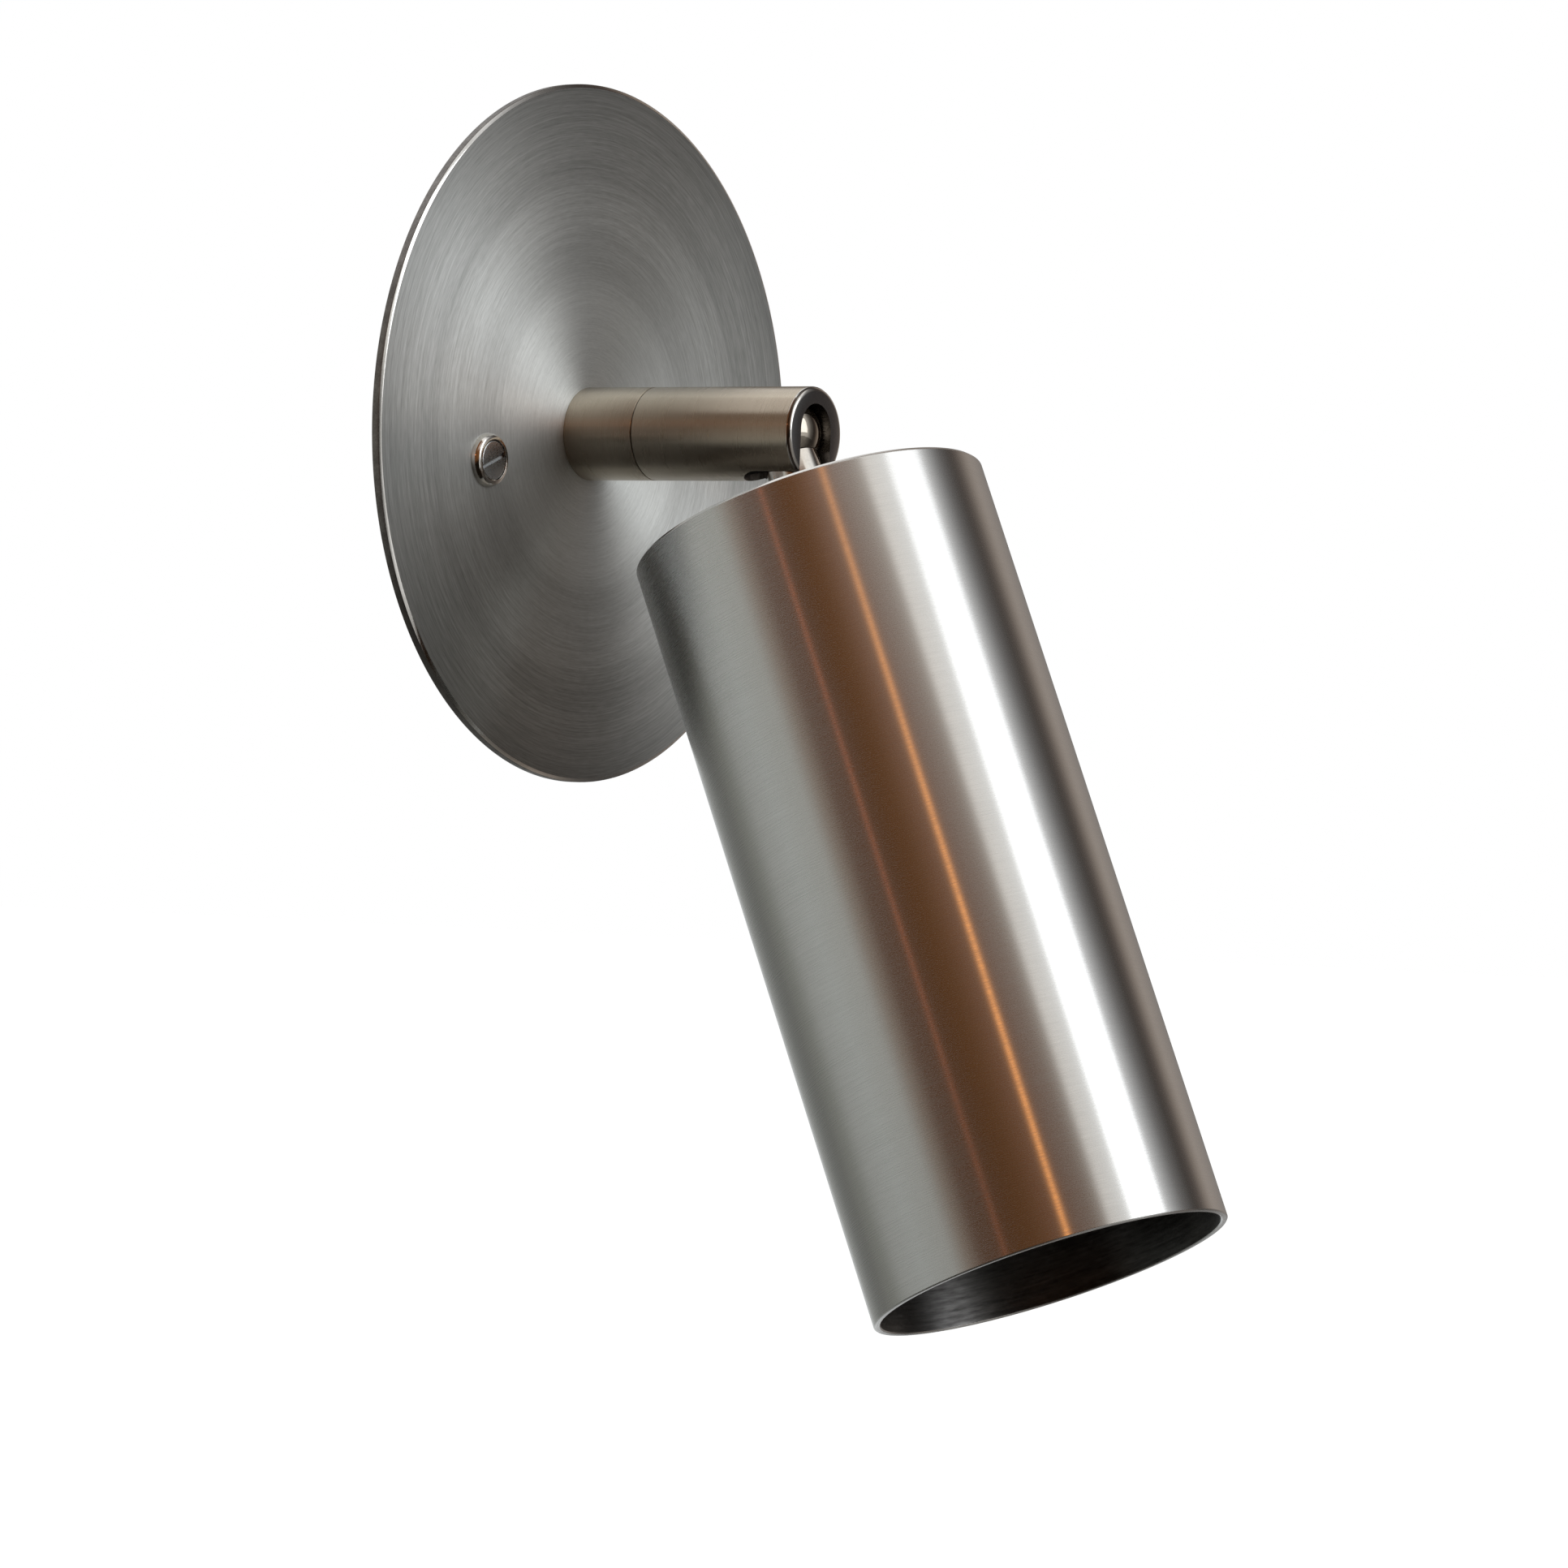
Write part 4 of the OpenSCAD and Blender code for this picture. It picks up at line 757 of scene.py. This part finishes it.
grub_pitch, grub_slot_half, grub_slot_depth = 0.45, 0.2, 0.6
grub = swept([(0, 0), (grub_r - grub_chamfer, 0)] +
             thread_rows(grub_r * 2, grub_pitch, -0.02, -grub_len, 40, bevel=0.2) +
             [(0, -grub_len)], 40, closed=False)
grub = worked(grub, [prism([(-2 * grub_r, -grub_slot_half), (2 * grub_r, -grub_slot_half),
                            (2 * grub_r, grub_slot_half), (-2 * grub_r, grub_slot_half)],
                           -grub_slot_depth, past)])
flipped = Matrix.Rotation(math.pi, 4, "X")
grub_row = in_a_row(grub, 2, 2 * row_offset, zinc_steel, 90)
grubs = in_a_row(grub_row, pole_count, pole_pitch, zinc_steel)
set_in("terminal_screws", grubs,
       outward(block_back) @ Matrix.Translation((0, -block_drop, grub_top)) @ flipped, zinc_steel,
       "wall_side")


def small_screw(length):
    """A zinc-plated cheese-head screw of 3 mm thread, with a plain waist under its head."""
    waist_r, waist_len = small_screw_d / 2 - 0.1, 0.6
    return screw(small_head_r, small_head_h, slot_w, slot_depth,
                 [(waist_r, 0), (waist_r, -waist_len)] +
                 thread_rows(small_screw_d, small_pitch, -waist_len, -length, 64, bevel=0.4) + [(0, -length)])


bracket_screws = in_a_row(small_screw(block_depth - small_head_h + carrier_t), 2, pole_pitch, zinc_steel)
set_in("bracket_screws", bracket_screws,
       outward(block_back) @ Matrix.Translation((0, -block_drop, small_head_h)) @ flipped, zinc_steel,
       "wall_side")


# Swivel inside the arm
# A brass bush in the tube's rear turns on the nipple, held by a spring washer and a round nut; a hardened
# pin from the collar runs in its groove. They are out of sight, and keep the shapes of their solids.

# hardened and ground pin
pin_steel = surfaced("ground_pin_steel", ("#a5a6a8", "#bcbdbe"), 0.3, 0.3, 1.0, 0.04, 0.06)


def finish_solid(name, material):
    """Gives a solid that is shown as it is its finish."""
    mesh = nodes[name].data
    mesh.materials.clear()
    mesh.materials.append(material)


for name, material in (("swivel_bush", brass), ("swivel_nut", brass), ("swivel_spring", spring_steel),
                       ("stop_pin", pin_steel)):
    finish_solid(name, material)


# Arm tube
# The arm's turning part: stainless tube with a closed round end that holds the ball, bevelled at its edge.
# A slot milled through the end and the underside lets the neck tilt from straight down to level.

swivel_gap, tube_len, tube_bore_r, front_bevel, ball_depth = 0.2, 32.5, 6.8, 0.8, 41.3
slot_half, slot_rise, slot_rear = 4.5, 0.6, 34.95
tube_rear = collar_front + swivel_gap
tube_end = tube_rear + tube_len
ball_height = ball_depth - tube_rear
seat_arc = [(tube_bore_r * math.cos(a), ball_height + tube_bore_r * math.sin(a))
            for a in np.linspace(0, math.pi / 2, 40)]
tube = swept(rounded([(0, tube_len), (arm_r, tube_len, front_bevel), (arm_r, 0, seam_bevel),
                      (tube_bore_r, 0)]) + seat_arc, 192, closed=False)
slot_plan = [(-slot_half, -tube_len - past), (slot_half, -tube_len - past)]
slot_centre = slot_rear - tube_rear + slot_half
slot_plan += [(slot_half * math.cos(a), -slot_centre + slot_half * math.sin(a))
              for a in np.linspace(0, math.pi, 40)]
underside = prism(slot_plan, slot_rise - 2 * arm_r, slot_rise)
underside.transform(Matrix.Rotation(math.radians(-90), 4, "X"))
end_window = prism(circle(slot_half, 0, slot_rise, 80), ball_height, tube_len + past)
tube = worked(tube, [underside, end_window], ease=0.1)
shown_tube = set_in("arm_tube", tube, outward(tube_rear), arm_steel_painted_reflection, "arm")
# the end is faced with a fine cut after its edge was polished, which leaves it a little duller
faced_steel = surfaced("stainless_end_faced_on_the_lathe", ("#9b9da0", "#a9abae"), 0.4, 0.14, 1.0, 0.03,
                       0.03)
# the bore and the slot walls are painted dark grey: painted shade for the dark inside the tube
bore_steel_painted_shade = surfaced("bored_stainless_painted_dark", ("#4a4643", "#66615c"), 0.5, 0.3, 1.0, 0.06, 0.08)
refinished(shown_tube, edge_steel,
           lambda centre, normal: abs(normal.y) > 0.15 and centre.y < front_bevel + 0.1 - tube_end)
refinished(shown_tube, faced_steel,
           lambda centre, normal: normal.y < -0.99 and centre.y < 0.1 - tube_end)
refinished(shown_tube, bore_steel_painted_shade,
           lambda centre, normal: centre.xz.length < arm_r - 0.12 and centre.y > 0.3 - tube_end)


# Ball seat and springs
# A black acetal cup presses on the ball from behind, pushed by two conical springs and set by a threaded
# ring with two key holes. Only the cup's edge shows through the slot.

# acetal, moulded and self-lubricating: a soft black sheen
seat_polymer = surfaced("moulded_black_acetal", ("#0f0f10", "#1b1b1c"), 0.2, 0.38, 0.0, 0.08, 0.05, IOR=1.48)
for name, material in (("ball_seat", seat_polymer), ("cup_springs", spring_steel), ("preload_ring", brass)):
    finish_solid(name, material)


# Ball and neck
# A turned and polished ball, flat and threaded at its foot, and the neck that is screwed into it through
# the slot. The neck's two flat sides slide in the slot, so the shade tilts and does not spin.

ball_r, ball_flat, neck_hole_r, lead_bore_r = 6.7, 4.6, 4.05, 2.5
neck_r, neck_shift, neck_len, neck_hold, neck_thread_d, neck_pitch = 4.35, 0.6, 15.7, 4, 8.0, 1.0
thread_end = 26.2


def hung(distance):
    """The place of a piece drawn upward from zero that hangs down the shade's axis, starting at a distance
    below the ball's centre."""
    return (Matrix.Scale(MM, 4) @ Matrix.Translation((0, -ball_depth, 0)) @
            Matrix.Rotation(math.pi - shade_tilt, 4, "X") @ Matrix.Translation((0, 0, distance)))


# chromium steel, ground and lapped: a clear mirror, painted a dark warm grey as painted shade for its place
# deep in the arm's bore
ball_steel_painted_shade = surfaced("lapped_chromium_steel_painted_shade", ("#8f887e", "#a19a90"), 0.4, 0.06, 1.0, 0.02, 0.03)
low = math.asin(ball_flat / ball_r)
ball_outline = [(0, 0), (neck_hole_r, 0), (neck_hole_r, ball_flat)]
ball_outline += [(ball_r * math.cos(a), ball_r * math.sin(a)) for a in np.linspace(low, -math.pi / 2, 72)]
ball_outline[-1] = (0, -ball_r)
ball = swept(ball_outline, 160, closed=False)
past_ball = ball_r + past
lead_way = prism([(-lead_bore_r, -past_ball), (lead_bore_r, -past_ball), (lead_bore_r, lead_bore_r),
                  (-lead_bore_r, lead_bore_r)], -past_ball, lead_bore_r)
ball = worked(ball, [lead_way], ease=0.1)
set_in("swivel_ball", ball, hung(0), ball_steel_painted_shade, "shade")

# the neck's outline: two half rounds moved apart, and between them the narrow flats that slide in the slot
neck_steps = 96
round_neck = np.arange(neck_steps) * 2 * math.pi / neck_steps
neck_cos, neck_sin = np.abs(np.cos(round_neck)), np.abs(np.sin(round_neck))
round_side = neck_shift * neck_sin + np.sqrt(neck_r ** 2 - (neck_shift * neck_cos) ** 2)
flat_side = neck_r / np.maximum(neck_cos, 1e-6)
neck_outline = np.where(flat_side * neck_sin < neck_shift, flat_side, round_side)
neck_rows = [(lead_bore_r, ball_flat - neck_hold), (neck_thread_d / 2 - 0.4, ball_flat - neck_hold)]
screwed_in = thread_rows(neck_thread_d, neck_pitch, ball_flat - 0.05, ball_flat - neck_hold, neck_steps, 0.3)
neck_rows += screwed_in[::-1]
# the keyed part between the threads, its edge rounded at the ball and at the cap
for inward, height in ((0.25, ball_flat), (0.08, ball_flat + 0.08), (0, ball_flat + 0.25)):
    neck_rows.append((neck_outline - inward, height))
for inward, height in ((0, neck_len - 0.2), (0.06, neck_len - 0.06), (0.2, neck_len)):
    neck_rows.append((neck_outline - inward, height))
tail = thread_rows(neck_thread_d, neck_pitch, -neck_len - 0.02, -thread_end, neck_steps, 0.4)
neck_rows += [(radii, -height) for radii, height in tail] + [(neck_thread_d / 2 - 0.5, thread_end),
                                                             (lead_bore_r, thread_end)]
set_in("ball_neck", swept(neck_rows, neck_steps, closed=True), hung(0), polished_steel, "shade")


# Shade
# Thin stainless tube, cut to length, its ends deburred and its outside brushed round and round with a belt.
# A turned cap closes its top, flush with the edge, and hangs on the neck.

shade_r, shade_in_r, shade_len, top_bevel, mouth_bevel, cap_t = 30.5, 29.3, 135, 0.5, 0.2, 3
ball_centre = Vector((0, -ball_depth, 0))
# stainless tube brushed round: every reflection is drawn out along the tube into a straight band
shade_steel = brushed_metal("stainless_tube_brushed_round", ("#c7c7c6", "#cfcfce"), 0.27, 1.0,
                            axis=shade_axis, girth_mm=shade_r, groove_mm=0.2, depth=0.05, centre=ball_centre,
                            contrast=0.4)
shade = turned([(shade_in_r, 0), (shade_r - top_bevel, 0, 0.15), (shade_r, top_bevel, 0.25),
                (shade_r, shade_len - mouth_bevel, 0.12), (shade_r - mouth_bevel, shade_len, 0.08),
                (shade_in_r + mouth_bevel, shade_len, 0.08), (shade_in_r, shade_len - mouth_bevel, 0.12)],
               steps=256)
shown_shade = set_in("shade_tube", shade, hung(neck_len), shade_steel, "shade")
# the bore is honed with a coarse stone that leaves dull rings; its dark grey is painted shade for the dark
# inside the tube
honed_bore_painted_shade = brushed_metal("coarsely_honed_bore_painted_shade", ("#545352", "#8b8a89"), 0.4, 0.9,
                            axis=shade_axis, girth_mm=shade_in_r, groove_mm=0.7, depth=0.2,
                            centre=ball_centre, contrast=0.16)
refinished(shown_shade, edge_steel,
           lambda centre, normal: (centre - ball_centre).dot(shade_axis) < neck_len + top_bevel - 0.02)
refinished(shown_shade, honed_bore_painted_shade,
           lambda centre, normal: (centre - ball_centre).cross(shade_axis).length < shade_in_r + 0.02)
cap_r = shade_in_r - play
cap = turned([(neck_hole_r, 0, 0.1), (cap_r, 0, 0.1), (cap_r, cap_t, 0.1), (neck_hole_r, cap_t, 0.1)],
             steps=192)
# a stainless disc, its face turned: dull, with the fine spiral of the tool
cap_steel = brushed_metal("stainless_cap_finely_faced", ("#8d8b88", "#a09e9b"), 0.32, 0.85, axis=shade_axis,
                          girth_mm=16, groove_mm=0.25, depth=0.08, centre=ball_centre, disc=True, haze=0.1)
set_in("shade_cap", cap, hung(neck_len), cap_steel, "shade")


# Lamp bracket
# A strip of plated steel bent into a frame with two inward feet, clamped under the cap by the neck's nut
# and a spring washer.

strip_w, strip_t, bracket_half, bracket_h, foot_len, holder_screw_x = 12, 1.2, 18, 22, 10, 12.5
bend_r, inner_bend_r, strip_edge = 1.8, 0.6, 0.2
cap_under = neck_len + cap_t
inside = bracket_half - strip_t
foot_top = bracket_h - strip_t
foot_end = bracket_half - foot_len
bend = rounded([(-bracket_half, 0, bend_r), (bracket_half, 0, bend_r), (bracket_half, bracket_h, bend_r),
                (foot_end, bracket_h, strip_edge), (foot_end, foot_top, strip_edge),
                (inside, foot_top, inner_bend_r), (inside, strip_t, inner_bend_r),
                (-inside, strip_t, inner_bend_r), (-inside, foot_top, inner_bend_r),
                (-foot_end, foot_top, strip_edge), (-foot_end, bracket_h, strip_edge),
                (-bracket_half, bracket_h, bend_r)])
strip = prism(bend, -strip_w / 2, strip_w / 2)
strip.transform(Matrix.Rotation(math.radians(90), 4, "X"))
strip = worked(strip, [prism(circle(neck_hole_r), -past, strip_t + past)] +
               [prism(circle(small_hole_r, side * holder_screw_x, 0, 32), foot_top - past, bracket_h + past)
                for side in (-1, 1)], ease=0.12)
set_in("lamp_bracket", strip, hung(cap_under), zinc_steel, "shade")
strip_under = cap_under + strip_t
set_in("neck_lock_washer", split_washer(lock_r, neck_hole_r, lock_t), hung(strip_under), spring_steel,
       "shade")
set_in("neck_nut", hexagon_nut(nut_flats, nut_h, neck_hole_r), hung(strip_under + lock_t), brass,
       "shade")


# Lampholder
# A block of unglazed steatite with a pocket for each of the lamp's two pins and a brass spring contact at
# its floor. Two screws hold it on the bracket's feet.

holder_r, holder_half_w, holder_h, pin_x, pocket_r, pocket_depth = 16.5, 8.5, 17, 5, 2.55, 6.0
holder_top = cap_under + bracket_h
# pressed and fired steatite: chalky, faintly speckled
holder_ceramic = surfaced("pressed_steatite", ("#ddd8c9", "#ebe7db"), 0.35, 0.62, 0.0, 0.3, 0.08, IOR=1.55)
# the block's ends are arcs of a circle, its sides flat
end_angle = math.asin(holder_half_w / holder_r)
holder_outline = [(holder_r * math.cos(a), holder_r * math.sin(a))
                  for a in np.linspace(-end_angle, end_angle, 24)]
holder_outline += [(-x, -y) for x, y in holder_outline]
holder_cuts = []
well_floor = holder_h - small_head_h
for side in (-1, 1):
    holder_cuts += [prism(circle(pocket_r, side * pin_x, 0, 40), holder_h - pocket_depth, holder_h + past),
                    prism(circle(small_hole_r, side * holder_screw_x, 0, 32), -past, holder_h + past),
                    prism(circle(small_well_r, side * holder_screw_x, 0, 40), well_floor, holder_h + past)]
holder = worked(prism(holder_outline, 0, holder_h), holder_cuts, ease=0.35, ease_steps=3)
set_in("lampholder", holder, hung(holder_top), holder_ceramic, "shade")
holder_under = holder_top + holder_h
holder_screws = in_a_row(small_screw(holder_h + strip_t - small_head_h), 2, 2 * holder_screw_x, zinc_steel)
set_in("holder_screws", holder_screws, hung(holder_under - small_head_h), zinc_steel, "shade")
finish_solid("holder_contacts", brass)


# Lamp
# A reflector lamp with two turn-and-lock pins. Its base is moulded, its shell is ribbed and coated with
# aluminium, and its front is a frosted lens with small pressed pips.

lamp_top, base_r, base_len, shell_r, shell_wall, lens_r, lens_t = 58.0, 13.5, 16, 25.0, 1.2, 23.75, 2.0
flare_len, shell_len, lens_below = 24.0, 31.0, 27.8
pin_stem_r, button_r, button_h, stem_len, pin_top, pin_len = 1.6, 2.4, 2.4, 3.6, 52.0, 9.6
# heat-proof moulded polyester, gloss white
lamp_base_white = surfaced("moulded_gloss_white_base", ("#dcdad2", "#e6e4dd"), 0.3, 0.24, 0.0, 0.05, 0.05,
                           IOR=1.56)
# aluminium flashed on pressed glass
reflector = surfaced("aluminium_reflector_coat", ("#b9b9bb", "#cbcbcd"), 0.6, 0.2, 1.0, 0.05, 0.07)
# pressed glass, etched inside: milky, with a sharp surface gloss
lens_glass = surfaced("frosted_pressed_glass", ("#dfe4e3", "#eef1f0"), 0.3, 0.34, 0.0, 0.1, 0.06,
                      **{"IOR": 1.52, "Transmission Weight": 0.6, "Coat Weight": 0.5, "Coat Roughness": 0.08})

base = turned([(0, 0), (base_r, 0, 1.5), (base_r, base_len, 0.1), (0, base_len)], steps=96)
base = worked(base, [prism(circle(pin_stem_r + play, side * pin_x, 0, 32), -past, stem_len)
                     for side in (-1, 1)])
set_in("lamp_base", base, hung(lamp_top), lamp_base_white, "shade")
pin = turned([(0, 0), (button_r, 0, 0.4), (button_r, button_h, 0.3), (pin_stem_r, button_h),
              (pin_stem_r, pin_len, 0.2), (0, pin_len)], steps=48)
set_in("lamp_pins", in_a_row(pin, 2, 2 * pin_x, zinc_steel), hung(pin_top), zinc_steel, "shade")

# the shell's ribs are sunk into the flare, deepest half way along it
shell_steps, rib_count, rib_depth = 288, 36, 0.5
rib = 0.5 + 0.5 * np.cos(rib_count * np.arange(shell_steps) * 2 * math.pi / shell_steps)
shell_rows = [(0, 0), (base_r - 0.2, 0), (base_r, 0.2)]
for share in np.linspace(0.04, 0.96, 16):
    sunk = rib_depth * math.sin(math.pi * share) * rib
    shell_rows.append((base_r + (shell_r - base_r) * share - sunk, flare_len * share))
shell_rows += rounded([(shell_r, flare_len, 0.5), (shell_r, shell_len, 0.3),
                       (shell_r - shell_wall, shell_len, 0.2), (shell_r - shell_wall, flare_len, 0.5),
                       (base_r - shell_wall, shell_wall, 0.3), (0, shell_wall)])
shell = swept(shell_rows, shell_steps, closed=False)
set_in("lamp_shell", shell, hung(lamp_top + base_len), reflector, "shade")

lens_steps, pip_pitch, pip_r, pip_h, plain_edge, lens_bevel = 240, 3.2, 1.35, 0.3, 1.2, 0.2
round_lens = np.arange(lens_steps) * 2 * math.pi / lens_steps


def pips(radius):
    """How high the lens stands at a radius, all round: small domes in a honeycomb."""
    x, y = radius * np.cos(round_lens), radius * np.sin(round_lens)
    height = np.zeros(lens_steps)
    for shift_x, shift_y in ((0, 0), (0.5, math.sqrt(0.75))):
        column = np.round(x / pip_pitch - shift_x) + shift_x
        row = np.round((y / pip_pitch - shift_y) / math.sqrt(3)) * math.sqrt(3) + shift_y
        off = np.hypot(x - column * pip_pitch, y - row * pip_pitch)
        height = np.maximum(height, pip_h * (1 - (off / pip_r) ** 2))
    return np.maximum(height, 0) * min(1, max(0, lens_r - plain_edge - radius))


lens_face = lens_t - pip_h
lens_rows = [(0, 0), (lens_r - lens_bevel, 0), (lens_r, lens_bevel), (lens_r, lens_face - lens_bevel),
             (lens_r - lens_bevel, lens_face)]
lens_rows += [(radius, lens_face + pips(radius)) for radius in np.linspace(lens_r - 0.6, 0.25, 84)]
lens_rows.append((0, lens_t))
lens = swept(lens_rows, lens_steps, closed=False)
set_in("lamp_lens", lens, hung(lamp_top + base_len + lens_below), lens_glass, "shade")
